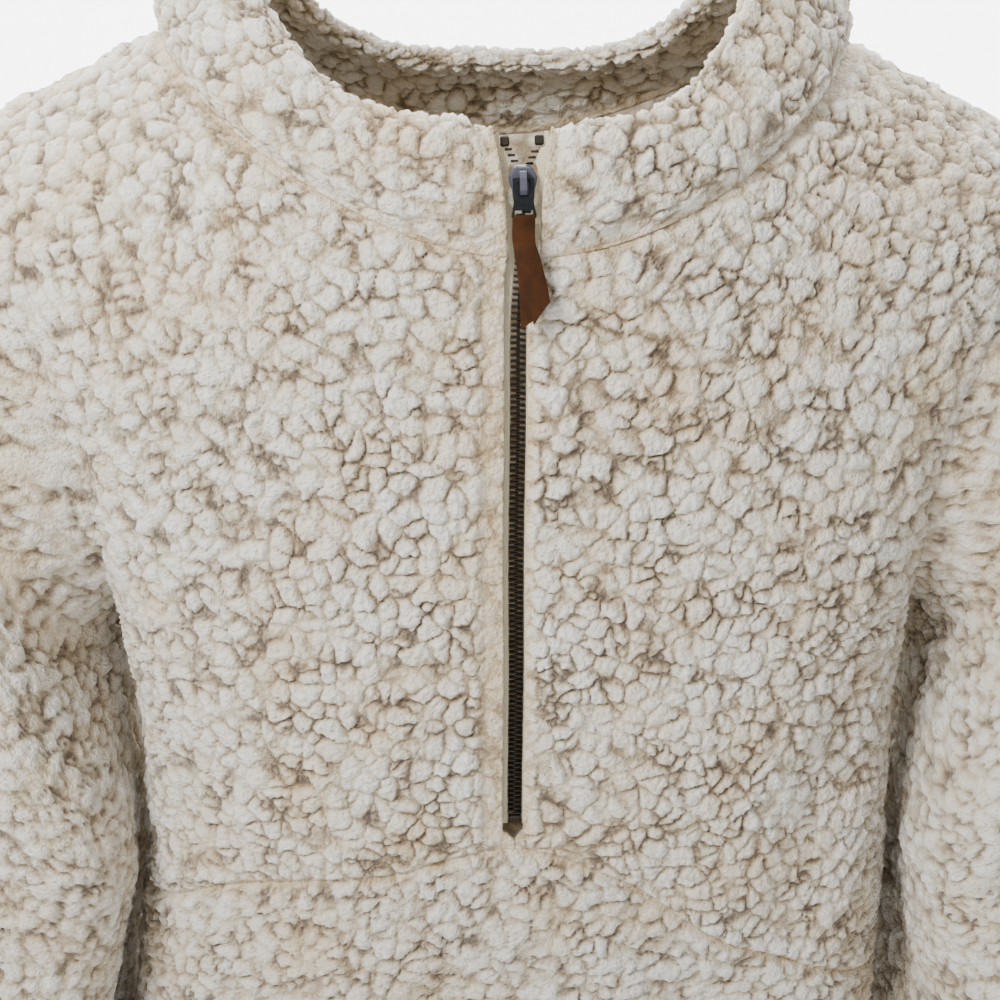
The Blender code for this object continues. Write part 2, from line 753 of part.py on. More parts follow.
def solid_outline(outline, thickness, centre, right, normal, down, bevel=0.0):
    """A plate: an outline of (right, down) places, given a thickness along the outward direction."""
    bm = bmesh.new()
    verts = [bm.verts.new(centre + right * a + down * b - normal * thickness / 2) for a, b in outline]
    face = bm.faces.new(verts)
    skin = bmesh.ops.extrude_face_region(bm, geom=[face], use_keep_orig=True)
    moved = [item for item in skin["geom"] if isinstance(item, bmesh.types.BMVert)]
    bmesh.ops.translate(bm, verts=moved, vec=normal * thickness)
    bmesh.ops.recalc_face_normals(bm, faces=bm.faces)
    if bevel:
        bmesh.ops.bevel(
            bm,
            geom=bm.edges[:],
            offset=bevel,
            offset_type="OFFSET",
            affect="EDGES",
            segments=1,
            profile=0.5,
            material=-1,
        )
    return bm


def in_metres(bm):
    bmesh.ops.scale(bm, vec=(MM, MM, MM), verts=bm.verts)
    return bm


def small_block(name, line, z, offset, size, material):
    """A crimped metal stop: a small rounded block on the zip's middle line."""
    point, right, normal, down = zip_frame(line, z)
    wide, long = size[0] / 2, size[1] / 2
    outline = [(-wide, -long), (wide, -long), (wide, long), (-wide, long)]
    bm = solid_outline(outline, size[2], point + right * offset, right, normal, down, 0.5)
    return finished(name, in_metres(bm), material)


def joined(name, parts, material):
    """One closed body from several overlapping solids."""
    things = []
    for index, bm in enumerate(parts):
        things.append(finished(f"{name}_{index}" if index else name, in_metres(bm), material))
    for other in things[1:]:
        other.hide_render = True
        other.display_type = "WIRE"
        union = things[0].modifiers.new("union", "BOOLEAN")
        union.operation = "UNION"
        union.solver = "EXACT"
        union.object = other
    return things[0]


def slider(line, material):
    """The zip slider: two plates round the chain as one block, and the bridge that holds the pull."""
    point, right, normal, down = zip_frame(line, SLIDER_Z)
    half = SLIDER_LENGTH / 2
    wide = SLIDER_HALF_WIDTH
    body = [(-3.0, -half), (3.0, -half), (wide, -half + 3.4), (wide, -1.6), (4.3, 1.4), (3.6, half)]
    body += [(-a, b) for a, b in reversed(body[2:])]
    plates = solid_outline(body, SLIDER_THICKNESS, point, right, normal, down, 0.6)
    front = point + normal * SLIDER_THICKNESS / 2
    reach = BRIDGE_RISE
    arch = [(-half + 1.2, -1.0), (-half + 1.6, reach * 0.75), (-half + 3.6, reach)]
    arch += [(0.9, reach), (2.9, reach * 0.6)]
    under = reach - BRIDGE_METAL
    arch += [(3.2, -1.0), (1.8, -1.0), (1.6, reach * 0.42), (0.4, under), (-half + 4.1, under)]
    arch += [(-half + 3.0, reach * 0.55), (-half + 2.7, -1.0)]
    bridge = solid_outline(arch, BRIDGE_WIDTH, front, down, right, normal)
    return joined("slider", [plates, bridge], material)


def pull_axes(line):
    """The pull's hinge point on the slider, and its right, outward and down directions at rest."""
    point, right, normal, down = zip_frame(line, SLIDER_Z)
    hinge = point + normal * (SLIDER_THICKNESS / 2 + PULL_ABOVE_PLATE) - down * PULL_ABOVE_MIDDLE
    tilt = math.radians(PULL_TILT)
    hang = Vector((0, -math.sin(tilt), -math.cos(tilt)))
    along = Vector((1, 0, 0))
    return hinge, along, along.cross(hang) * -1, hang


def pull_metal(line, material):
    """The metal pull: a cross-bar under the bridge, two arms beside it and a plate with an eye."""
    hinge, right, normal, down = pull_axes(line)
    bar = PULL_BAR
    arm = 2 * bar
    end = PULL_LENGTH
    eye_top, eye_end = end - 3.2, end - 1.6
    half, foot = PULL_HALF_WIDTH, PULL_WINDOW_FOOT
    outer = [(-half, -bar), (half, -bar), (half, foot), (PULL_WAIST, foot + 1.2)]
    outer += [(PULL_FOOT, end - 0.9), (PULL_FOOT - 0.7, end)]
    outer += [(-a, b) for a, b in reversed(outer[2:])]
    plate = solid_outline(outer, arm, hinge, right, normal, down, 0.25)
    thing = finished("pull_metal", in_metres(plate), material)
    wide, eye_half = PULL_WINDOW, PULL_EYE
    window = [(-wide, bar), (wide, bar), (wide, foot - 1.0), (wide - 0.7, foot)]
    window += [(0.7 - wide, foot), (-wide, foot - 1.0)]
    eye = [(-eye_half, eye_top), (eye_half, eye_top), (eye_half, eye_end), (-eye_half, eye_end)]
    for name, outline in (("pull_window", window), ("pull_eye", eye)):
        cutter = finished(name, in_metres(solid_outline(outline, 6.0, hinge, right, normal, down)), material)
        cutter.hide_render = True
        cutter.display_type = "WIRE"
        cut = thing.modifiers.new(name, "BOOLEAN")
        cut.operation = "DIFFERENCE"
        cut.solver = "EXACT"
        cut.object = cutter
    return thing


def pull_leather(line, material):
    """The leather tab, a strip folded in two, cut at a slant with a notch at its foot."""
    hinge, right, normal, down = pull_axes(line)
    top = PULL_LENGTH + SEAM_GAP
    lean = LEATHER_LEAN
    outline = [(-4.1, top), (4.1, top), (5.9 + 0.4 * lean, top + 18.5), (6.8 + lean, top + 30.7)]
    outline += [(0.6 + lean, top + 39.3), (-0.2 + lean, top + 37.8), (-4.4 + lean, top + 40.8)]
    outline += [(-3.9 + 0.4 * lean, top + 18.5)]
    bm = solid_outline(outline, LEATHER_THICKNESS, hinge, right, normal, down, 0.35)
    return finished("pull_leather", in_metres(bm), material)


def set_origin(thing, point):
    """Moves an object's origin to a point without moving its shape."""
    thing.data.transform(Matrix.Translation(-point * MM))
    thing.location = point * MM


def main():
    for old in list(bpy.data.objects):
        bpy.data.objects.remove(old, do_unlink=True)
    fleece = plain_material("sherpa_fleece", (0.80, 0.74, 0.64), 0.95)
    tape = plain_material("zip_tape", (0.52, 0.46, 0.33), 0.9)
    bronze = plain_material("dark_bronze", (0.03, 0.025, 0.02), 0.4, 1.0)
    steel = plain_material("gunmetal", (0.08, 0.08, 0.1), 0.35, 1.0)
    leather = plain_material("cognac_leather", (0.2, 0.07, 0.015), 0.6)
    levels = body_levels()
    upper = [level for level in levels if level[0] != "lower"]
    upper = with_pressed_rows(with_pressed_rows(upper, "arm", True), "middle", False)
    lower = [("middle", 1.0)] + [level for level in levels if level[0] == "lower"]
    lower = with_pressed_rows(lower, "lower", True)
    body_panel("front_left", "front", (-1,), upper, fleece, True, ("top", "zip", "seam"))
    body_panel("front_right", "front", (1,), upper, fleece, True, ("top", "zip", "seam"))
    body_panel("front_lower", "front", (-1, 1), lower, fleece, False, ("seam",))
    body_panel("back", "back", (-1, 1), with_pressed_rows(levels, "arm", True), fleece, False, ("top",))
    sleeve("sleeve_left", -1, LEFT_SLEEVE_INWARD, fleece)
    sleeve("sleeve_right", 1, RIGHT_SLEEVE_INWARD, fleece)
    collar(fleece)
    line = zip_line()
    half_chain = CHAIN_WIDTH / 2
    chain_heights = heights_between(SLIDER_Z - SLIDER_LENGTH / 2 - 0.8, ZIP_BOTTOM_Z, 12)
    strip("zip_chain", line, chain_heights, lambda z: (-half_chain, half_chain), CHAIN_THICKNESS, bronze)
    for side, word in ((-1, "left"), (1, "right")):
        row = heights_between(STOP_Z - 2.2, TEETH_BOTTOM_Z, 2)
        strip(f"zip_teeth_{word}", line, row, teeth_edges(side), CHAIN_THICKNESS, bronze)
        tape_heights = [STOP_Z + 3.0, STOP_Z - STOP_CLEAR + 0.1]
        tape_heights += heights_between(STOP_Z - STOP_CLEAR - 0.1, -FRONT_NECK_DROP - 14, 2.4)
        tape_heights += heights_between(-FRONT_NECK_DROP - 14, ZIP_BOTTOM_Z - 4.5, 12)[1:]
        strip(f"zip_tape_{word}", line, tape_heights, tape_edges(side), TAPE_THICKNESS, tape)
        small_block(f"zip_stop_{word}", line, STOP_Z, side * STOP_APART, (3.4, 3.6, 3.2), bronze)
    small_block("zip_stop_bottom", line, ZIP_BOTTOM_Z - 2.2, 0.0, (5.4, 3.6, 3.0), bronze)
    slider(line, steel)
    hinge = pull_axes(line)[0]
    set_origin(pull_metal(line, steel), hinge)
    set_origin(pull_leather(line, leather), hinge)


main()
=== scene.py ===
"""Looks of a sherpa fleece half-zip pullover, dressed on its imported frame.

Sizes are in millimetres until a mesh is made. Axes and origin are the frame's: -Y is the front and +Z is up.
"""

import json
import math

import bmesh
import bpy
import numpy as np
from bpy.props import FloatProperty, FloatVectorProperty, IntProperty, PointerProperty
from mathutils import Matrix, Vector, noise


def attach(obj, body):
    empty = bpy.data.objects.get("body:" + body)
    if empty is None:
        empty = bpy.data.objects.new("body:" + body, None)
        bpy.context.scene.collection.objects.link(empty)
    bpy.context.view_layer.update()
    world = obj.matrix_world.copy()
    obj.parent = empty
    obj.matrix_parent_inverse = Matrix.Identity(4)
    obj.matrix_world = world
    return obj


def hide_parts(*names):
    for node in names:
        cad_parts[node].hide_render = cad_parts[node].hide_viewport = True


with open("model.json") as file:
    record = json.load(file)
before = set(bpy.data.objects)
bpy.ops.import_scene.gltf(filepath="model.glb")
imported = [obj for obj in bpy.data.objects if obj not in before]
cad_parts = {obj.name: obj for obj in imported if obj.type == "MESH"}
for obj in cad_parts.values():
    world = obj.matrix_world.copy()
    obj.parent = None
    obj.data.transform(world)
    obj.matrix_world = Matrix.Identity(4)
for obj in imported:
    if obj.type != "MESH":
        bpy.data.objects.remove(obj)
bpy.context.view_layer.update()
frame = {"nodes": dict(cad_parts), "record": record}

bl_info = {
    "name": "Sherpa Half-Zip Pullover",
    "version": (1, 0, 0),
    "blender": (4, 5, 0),
    "location": "View3D > Sidebar > Pullover",
    "description": "Dresses a pullover's frame in sherpa fleece, with its zip, its leather pull and a stage",
    "category": "Object",
}

MM = 0.001

# Main sizes of the garment
CLOTH = 8.0
NECK_HALF = 142.0
SHOULDER_SLOPE = 0.477
TIP_X = 240.0
TIP_Z = -(TIP_X - NECK_HALF) * SHOULDER_SLOPE
UNDERARM_Z = -265.0
ARMHOLE_DEPTH = 80.0
CENTRE_LEVEL = -232.0
HEM_Z = -700.0
SECTION_POWER = 3.2
NECK_ROUNDING = 140.0
TIP_ROUNDING = 92.0
FRONT_NECK_DROP = 66.0
BACK_NECK_DROP = 60.0
NECKLINE_POWER = 1.75
LEAN = 0.035
LEAN_BOTTOM_Z = -300.0
LEAN_TOP_Z = -150.0
SWAY = 12.5
SWAY_TOP_Z = -330.0
SWAY_BOTTOM_Z = -550.0
ZIP_FOOT_Z = -331.0

# Side half-width by height, and depth of the front and of the back at the middle
SIDE_HALF_WIDTH = ((-265, 184), (-295, 181), (-360, 184), (-460, 193), (-580, 199), (-700, 203))
FRONT_DEPTH = ((-60, 108), (-150, 114), (-265, 118), (-400, 117), (-550, 113), (-700, 112))
BACK_DEPTH = ((-55, 92), (-150, 99), (-265, 101), (-400, 95), (-550, 99), (-700, 106))

# Distance of the armhole seam from the middle, by height
ARMHOLE_X = ((-265, 184), (-205, 180), (-155, 183), (-112, 196), (-76, 217), (-47, 240))

# How far the centre front wanders off the middle, by height
CENTRE_FRONT = (
    (-700, -2), (-420, -2), (-319, -2), (-250, 0), (-190, 1),
    (-130, 3), (-85, 4), (-47, 9), (-20, 6),
)

# Seam across the front under the zip: height by place across
LOWER_SEAM = (
    (-190, -394), (-120, -359), (-60, -349), (-2, -335),
    (45, -356), (88, -393), (133, -417), (190, -452),
)

# Folds of the body: face, ends (x, z), half-width and depth of the trough
BODY_FOLDS = (
    ("front", 150, -255, 118, -420, 20, 7),
    ("front", 60, -372, 128, -520, 24, 8),
    ("front", -168, -270, -120, -430, 22, 6),
    ("front", -30, -420, 20, -560, 26, 6),
    ("front", -110, -470, -60, -640, 22, 7),
    ("front", 90, -560, 60, -690, 20, 6),
    ("back", 150, -240, 70, -330, 20, 8),
    ("back", -150, -250, -60, -350, 22, 8),
    ("back", 30, -380, 90, -560, 24, 7),
    ("back", -110, -420, -70, -600, 22, 8),
    ("back", 120, -520, 80, -680, 20, 6),
    ("back", -20, -520, 10, -690, 24, 6),
)

# Sleeve stations: outer line (x, z), inner line (x, z), half-depth, forward lean
SLEEVE_STATIONS = (
    (266, -63, 190, -275, 86, -6),
    (292, -87, 187, -293, 88, -15),
    (310, -121, 185, -315, 88, -22),
    (321, -163, 184, -340, 87, -28),
    (327, -211, 184, -368, 86, -33),
    (331, -263, 189, -398, 84, -36),
    (334, -317, 195, -430, 82, -38),
    (336, -369, 200, -462, 79, -40),
    (336, -420, 205, -494, 76, -42),
    (335, -468, 210, -526, 72, -43),
    (332, -514, 216, -556, 68, -44),
    (328, -560, 221, -586, 64, -45),
    (324, -604, 227, -616, 60, -46),
    (320, -640, 232, -648, 56, -47),
)
SLEEVE_FULLNESS = 1.18
SLEEVE_BACK_INWARD = 18.0

# How much closer to the body the soft pile of the forearms lies than the solid
FOREARM_CLOSER = 6.0

# How far the left and the right sleeve's front is drawn towards the body, above and below the elbow
SLEEVE_INWARD = {-1: (17.0, 27.0), 1: (6.0, -8.0)}

# Folds of a sleeve: station, angle round it in degrees, spread in stations and in degrees, depth
SLEEVE_FOLDS = (
    (1.5, -60, 1.1, 30, 6),
    (3.0, -120, 1.2, 34, 7),
    (5.6, -20, 0.8, 50, 8),
    (6.8, -75, 0.7, 46, 9),
    (7.6, -150, 0.8, 44, 7),
    (8.6, -30, 0.8, 48, 7),
    (10.4, -80, 0.8, 50, 6),
    (12.0, 10, 0.7, 46, 5),
    (12.4, -160, 0.7, 46, 5),
)

# Collar
COLLAR_HALF_THICKNESS = 7.0
COLLAR_SEAM_HALF = 1.9
RIM_HALF_WIDTH = 104.0
RIM_FRONT_Y = -99.0
RIM_BACK_Y = 50.0
RIM_LOW_Z = -22.5
RIM_RISE = 60.0
RIM_POWER = 3.6
COLLAR_BULGE = 4.0
COLLAR_EDGE = 6.4
RIM_EDGE = 10.5

# Lengths along the collar that set how many points it gets: a quarter round, its wall, and over its rim
COLLAR_QUARTER = 200.0
COLLAR_WALL = 62.0
COLLAR_OVER_RIM = 22.0

# Front edges beside the zip, the fleece sewn flat on the left one, how near the middle a border counts as
# the zip's, and how deep pile is pressed where it is sewn flat
LEFT_EDGE = 5.4
RIGHT_EDGE = 3.7
LEFT_FLAT = 7.0
NEAR_MIDDLE = 30.0
PRESSED_DROP = 5.2

# Lengths of a panel's stretches and of a sleeve, round and down, that set how many points they get, and how
# much coarser the lower front and the back are
STRETCH_LENGTHS = {"arm": 190, "middle": 125, "lower": 320}
SLEEVE_LENGTH = 520.0
LOWER_COARSER = 1.5
BACK_COARSER = 1.2

# Pile: lumps warped by seeded noise, with small curls on them, and patches where it is matted
PILE_SEED = 7
LUMP_WARP = 0.36
CURL_WARP = 0.25
CURL_CREVICE = 0.7
CURL_SHARE = 0.44
CURL_OFFSET = 37.0
PATCH_SIZE = 11.0

# Teeth: widths, thickness, tallness as a share of the pitch, reach of the closed ones off the middle, and
# bevel and taper as shares of a tooth
CLOSED_TOOTH_WIDTH = 3.6
OPEN_TOOTH_WIDTH = 2.8
TOOTH_THICKNESS = 2.5
TOOTH_TALLNESS = 0.42
TOOTH_REACH = 1.1
TOOTH_BEVEL = 0.16
TOOTH_TAPER = 0.25

# How far the open teeth run on behind the slider's crown
OPEN_TEETH_LONGER = 2.2

# Pull: its tilt at rest in degrees, and its eye below the hinge
PULL_TILT = 13.0
EYE_DROP = 12.7

# Leather tab: distance down from the eye, left edge, right edge, then its feet at the left and the right
LEATHER_FRONT = ((0, -4.3, 4.2), (9.9, -4.5, 4.0), (15.6, -3.3, 5.6), (27.3, -0.9, 8.3), (41.1, 2.9, 10.2))
LEATHER_BACK = ((1, -4.1, 4.1), (9.9, -4.3, 4.0), (22.6, -2.9, 5.0), (31.6, -2.3, 5.6), (42.8, -2.0, 6.0))
FRONT_FOOT = (41.1, 32.5)
BACK_FOOT = (42.8, 37.2)

# Crease and fold of the tab, below the eye
CREASE_DROP = 10.0
FOLD_DROP = 3.1
FOLD_RADIUS = 1.46
FOLD_WIDTH = 8.0

# Stage, in metres: floor, and the places of the lights and what they look at
FLOOR_SIZE = 6.0
FLOOR_BELOW_HEM = 0.06
SWEEP_START = 1.5
SWEEP_PULL = 0.8
KEY_PLACE = (-0.56, -0.72, 0.56)
KEY_SIZE = 0.4
FILL_PLACE = (0.0, -1.2, 0.6)
FILL_SIZE = 0.5
CHEST = (0, -0.08, -0.22)

# Camera: place in metres, angles in degrees
CAMERA_PLACE = (-0.005, -0.701, 0.109)
CAMERA_PITCH = 25.0
CAMERA_ROLL = 1.4
CAMERA_FIELD = 34.0


def srgb(code):
    """Linear colour of an sRGB hex code, with full opacity."""
    parts = [int(code[i : i + 2], 16) / 255 for i in (1, 3, 5)]
    return (*(c / 12.92 if c <= 0.04045 else ((c + 0.055) / 1.055) ** 2.4 for c in parts), 1.0)


# Form of the body, the sleeves and the collar, on arrays of places


def curve_through(table, at):
    """Values at an array of places, on a smooth curve through a (place, value) table's rows."""
    places, values = (np.array(column, float) for column in zip(*sorted(table)))
    at = np.clip(at, places[0], places[-1])
    low = np.clip(np.searchsorted(places, at, side="left") - 1, 0, len(places) - 2)
    before, after = np.maximum(low - 1, 0), np.minimum(low + 2, len(places) - 1)
    span = places[low + 1] - places[low]
    start = (values[low + 1] - values[before]) / (places[low + 1] - places[before])
    end = (values[after] - values[low]) / (places[after] - places[low])
    k = (at - places[low]) / span
    return (
        (2 * k**3 - 3 * k**2 + 1) * values[low]
        + (k**3 - 2 * k**2 + k) * span * start
        + (3 * k**2 - 2 * k**3) * values[low + 1]
        + (k**3 - k**2) * span * end
    )


def mix(a, b, share):
    """The value a share of the way from a to b."""
    return a + (b - a) * share


def eased(k):
    """A share from 0 to 1 that starts and ends softly."""
    k = np.clip(k, 0.0, 1.0)
    return k * k * (3 - 2 * k)


def unit(vectors):
    """The vectors at length 1."""
    return vectors / np.maximum(np.linalg.norm(vectors, axis=-1, keepdims=True), 1e-9)


def shoulder_z(x):
    """Height of the shoulder seam."""
    return -(np.abs(x) - NECK_HALF) * SHOULDER_SLOPE


def section_half_width(z, depth):
    """Half-width of the whole section at a height, which passes the armhole above the underarm."""
    share = np.clip((z - UNDERARM_Z) / (TIP_Z - UNDERARM_Z), 0.0, 1.0)
    opening = ARMHOLE_DEPTH * np.sqrt(1 - (1 - np.minimum(share / 0.55, 1.0)) ** 2)
    cut = (1 - (opening / depth) ** SECTION_POWER) ** (1 / SECTION_POWER)
    return np.where(z <= UNDERARM_Z, curve_through(SIDE_HALF_WIDTH, z), curve_through(ARMHOLE_X, z) / cut)


def fold_depth(face, x, z):
    """How far the largest folds press the body in at each place."""
    total = np.zeros(np.broadcast(x, z).shape)
    for where, x0, z0, x1, z1, half, depth in BODY_FOLDS:
        if where != face:
            continue
        run_x, run_z = x1 - x0, z1 - z0
        share = np.clip(((x - x0) * run_x + (z - z0) * run_z) / (run_x**2 + run_z**2), 0.0, 1.0)
        away = np.hypot(x - x0 - run_x * share, z - z0 - run_z * share)
        taper = 0.35 + 0.65 * np.sin(math.pi * np.clip(share, 0.08, 0.92))
        total += depth * taper * np.exp(-((away / half) ** 2))
    return total


def body_depth(face, x, z):
    """Distance of the outer surface from the plane of the side seams."""
    middle = curve_through(FRONT_DEPTH if face == "front" else BACK_DEPTH, z)
    half = section_half_width(z, middle)
    across = np.maximum(1 - (np.abs(x) / half) ** SECTION_POWER, 0.0) ** (1 / SECTION_POWER)
    near_tip = eased((np.abs(x) - NECK_HALF) / (TIP_X - NECK_HALF))
    rounding = mix(NECK_ROUNDING, TIP_ROUNDING, near_tip)
    below = np.clip((shoulder_z(x) - z) / rounding, 0.0, 1.0)
    return (middle - fold_depth(face, x, z)) * across * np.sqrt(1 - (1 - below) ** 2)


def body_points(face, x, z):
    """Points of the front's or the back's outer surface."""
    sign = -1 if face == "front" else 1
    return np.stack([x, sign * body_depth(face, x, z), z], axis=-1)


def neckline_z(face, x):
    """Height of the neckline."""
    drop = FRONT_NECK_DROP if face == "front" else BACK_NECK_DROP
    return -drop * (1 - np.minimum(np.abs(x) / NECK_HALF, 1.0) ** NECKLINE_POWER)


def neckline_normals(points):
    """Directions of the cloth's edge at the neckline, out and up."""
    flat = np.stack([points[..., 0], (points[..., 1] + 12) * 1.2, 0 * points[..., 0]], axis=-1)
    return unit(unit(flat) + np.array([0, 0, 0.6]))


def armhole_normals(points):
    """Directions of the cloth's edge at the armhole."""
    side = np.where(points[..., 0] > 0, 1, -1)
    middle_z, half_height = (TIP_Z + UNDERARM_Z) / 2, (TIP_Z - UNDERARM_Z) / 2
    round_it = np.stack(
        [0 * side, points[..., 1] / ARMHOLE_DEPTH, (points[..., 2] - middle_z) / half_height], axis=-1
    )
    return unit(unit(round_it) + np.stack([0.45 * side, 0 * side, 0 * side], axis=-1))


def grid_normals(points, closed=False, flip=False):
    """Directions out of a grid of points. A closed grid's last column stands on its first."""
    if closed:
        ring = np.concatenate([points[:, -2:-1], points, points[:, 1:2]], axis=1)
        across = ring[:, 2:] - ring[:, :-2]
    else:
        across = np.gradient(points, axis=1)
    down = np.gradient(points, axis=0)
    normals = unit(np.cross(across, down))
    return -normals if flip else normals


def seam_z(face, side, across):
    """Height of the seam under the zip, and of the back's row that meets it at the side seam."""
    if face == "front":
        return curve_through(LOWER_SEAM, mix(curve_through(CENTRE_FRONT, -325), side * 190, across))
    return mix(-350, curve_through(LOWER_SEAM, side * 190.0), across**2)


def level_z(face, side, across, stretch, share):
    """Heights of a panel's rows. across runs from 0 at the middle to 1 at the side."""
    x_top = across * TIP_X
    top = np.where(x_top < NECK_HALF, neckline_z(face, x_top), shoulder_z(x_top))
    under = mix(CENTRE_LEVEL, UNDERARM_Z, across**2)
    seam = seam_z(face, side, across)
    if stretch == "arm":
        down = 0.5 - 0.5 * np.cos(math.pi * share)
        return mix(top, under, mix(share, down, across**2))
    if stretch == "middle":
        return mix(under, seam, share)
    hem = HEM_Z + 3.0 * np.sin(5.0 * across + (1 if face == "front" else 2.5)) * (1 - across)
    return mix(seam, hem, share)


def side_x(z):
    """Half-width at the armhole seam and, below it, at the side seam."""
    return np.where(z > UNDERARM_Z, curve_through(ARMHOLE_X, z), curve_through(SIDE_HALF_WIDTH, z))


def zip_edge(side, z):
    """Distance of a front edge from the middle of the zip. The edges meet below its foot."""
    plain = LEFT_EDGE if side < 0 else RIGHT_EDGE
    return mix(plain, COLLAR_EDGE, eased((z + 92) / 22)) * eased((z - ZIP_FOOT_Z) / 6)


def half_panel(face, side, across, stretches, cut_open):
    """A half panel's grid: x, z, distance to the seam under the zip, and to the seams at the top."""
    rows_x, rows_z, rows_seam, rows_top = [], [], [], []
    for stretch, shares in stretches:
        share = shares[:, None]
        z = level_z(face, side, across[None, :], stretch, share)
        edge = side * side_x(level_z(face, side, np.array([[1.0]]), stretch, share))
        middle = curve_through(CENTRE_FRONT, z) if face == "front" else 0.0 * z
        if cut_open:
            middle = middle + side * zip_edge(side, z)
        x = mix(middle, edge, across[None, :])
        x_top = across[None, :] * TIP_X
        if stretch == "arm":
            slip = (x_top - np.abs(x[:1])) * SHOULDER_SLOPE * eased((x_top - NECK_HALF) / 10 + 1)
            z = z + slip * (1 - share) ** 6
        rows_x.append(x)
        rows_z.append(z)
        rows_seam.append(np.abs(z - seam_z(face, side, across[None, :])))
        near_neck = (neckline_z(face, x_top) - z) * 0.8 + np.maximum(x_top - NECK_HALF, 0.0)
        rows_top.append(np.where(z < CENTRE_LEVEL, 99.0, near_neck))
    return [np.concatenate(rows) for rows in (rows_x, rows_z, rows_seam, rows_top)]


def even(count):
    """Shares from 0 to 1 in even steps."""
    return np.linspace(0.0, 1.0, count + 1)


# Meshes


def counted(length, spacing, step):
    """How many grid steps of a spacing fill a length, a whole number of coarse steps."""
    return max(round(length / spacing / step), 1) * step


def leaned(points):
    """Cloth points in metres: the shoulders stand lower on the right, and the hem hangs to the left."""
    x, y, z = np.moveaxis(points, -1, 0)
    lean = LEAN * eased((z - LEAN_BOTTOM_Z) / (LEAN_TOP_Z - LEAN_BOTTOM_Z))
    sway = SWAY * eased((SWAY_TOP_Z - z) / (SWAY_TOP_Z - SWAY_BOTTOM_Z))
    return np.stack([x - sway, y, z - lean * x], axis=-1) * MM


def lump_heights(points, size, crevice, warp):
    """Height of curled pile at each point: 0 in the crevices between lumps, 1 on the tallest lumps."""
    heights = np.empty(len(points))
    for index, place in enumerate(points / size):
        place = Vector(place)
        place += noise.noise_vector(place * 0.9) * warp + noise.noise_vector(place * 2.9) * warp * 0.42
        near, centres = noise.voronoi(place)
        border = min((near[1] - near[0]) / crevice, 1.0)
        tall = (centres[0].x * 12.9 + centres[0].y * 78.2 + centres[0].z * 37.7) % 1.0
        heights[index] = math.sin(border * math.pi / 2) * (0.72 + 0.28 * tall)
    return heights


def piled(points, normals, stand, settings):
    """A grid's points on the pile's surface, and its height as a share. stand is 0 where it is sewn flat."""
    noise.seed_set(PILE_SEED)
    flat = points.reshape(-1, 3)
    large = lump_heights(flat, settings.lump_size / MM, settings.crevice, LUMP_WARP)
    small = lump_heights(flat + CURL_OFFSET, settings.curl_size / MM, CURL_CREVICE, CURL_WARP)
    matted = np.array([noise.noise(Vector(place)) for place in flat / PATCH_SIZE])
    lumps = 1 - large * (1 - CURL_SHARE + CURL_SHARE * small)
    pile = (1 - lumps * np.clip(0.86 - 0.4 * matted, 0.55, 1.0)).reshape(stand.shape)
    drop = PRESSED_DROP * (1 - stand) + (1 - pile) * settings.lump_height / MM * (0.25 + 0.75 * stand)
    return points - normals * drop[..., None], pile


def placed_grid(bm, points, closed=False):
    """A grid of faces with its corners at the points. Returns the vertices, row by row."""
    rows, columns = points.shape[:2]
    made = bmesh.ops.create_grid(bm, x_segments=columns - 1, y_segments=rows - 1, size=0.5)["verts"]
    made.sort(key=lambda v: (round(-v.co.y * (rows - 1) * 2), round(v.co.x * (columns - 1) * 2)))
    for vert, place in zip(made, points.reshape(-1, 3)):
        vert.co = place
    lines = [made[row * columns : (row + 1) * columns] for row in range(rows)]
    if closed:
        bmesh.ops.weld_verts(bm, targetmap={line[-1]: line[0] for line in lines})
        lines = [line[:-1] + line[:1] for line in lines]
    return lines


def stitched(bm, fine, coarse, step):
    """Faces between a fine border and a coarse one that run along the same edge."""
    for index in range(len(coarse) - 1):
        stretch = fine[index * step : (index + 1) * step + 1]
        bm.faces.new(stretch + [coarse[index + 1], coarse[index]])


def border_lines(rows):
    """The four border lines of a grid's rows: the first and last rows, then the first and last columns."""
    return rows[0], rows[-1], [row[0] for row in rows], [row[-1] for row in rows]


def pile_grid(bm, points, pile, stand, closed=False):
    """The pile's faces. Each vertex keeps its pile height and how flat it is sewn. Returns the rows."""
    pile_layer = bm.verts.layers.float.new("pile")
    pressed_layer = bm.verts.layers.float.new("pressed")
    rows = placed_grid(bm, leaned(points), closed)
    for row, heights, stands in zip(rows, pile, stand):
        for vert, height, standing in zip(row, heights, stands):
            vert[pile_layer] = height
            vert[pressed_layer] = 1 - standing
    return rows


def line_length(points):
    """The length of a line through points."""
    return float(np.linalg.norm(np.diff(points, axis=0), axis=-1).sum())


def fleece_shell(name, node, points, normals, stand, step, settings, closed=False):
    """A fleece piece: curled pile outside, brushed backing inside, closed all round its edges."""
    outer, pile = piled(points, normals, stand, settings)
    if closed:
        outer[:, -1], pile[:, -1] = outer[:, 0], pile[:, 0]
    inner = (points - normals * CLOTH)[::step, ::step]
    bm = bmesh.new()
    fine = pile_grid(bm, outer, pile, stand, closed)
    pile_faces = len(bm.faces)
    coarse = placed_grid(bm, leaned(inner), closed)
    bm.faces.ensure_lookup_table()
    for face in bm.faces[pile_faces:]:
        face.material_index = 1
    borders = list(zip(border_lines(fine), border_lines(coarse)))
    for fine_line, coarse_line in borders[:2] if closed else borders:
        stitched(bm, fine_line, coarse_line, step)
    bmesh.ops.recalc_face_normals(bm, faces=bm.faces)
    thing = finished(name, bm, [material("sherpa fleece"), material("knit backing")])
    return declared(thing, node, "garment")


def declared(thing, node, body):
    """Ties a piece to the frame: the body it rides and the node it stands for."""
    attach(thing, body)
    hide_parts(node)
    return thing


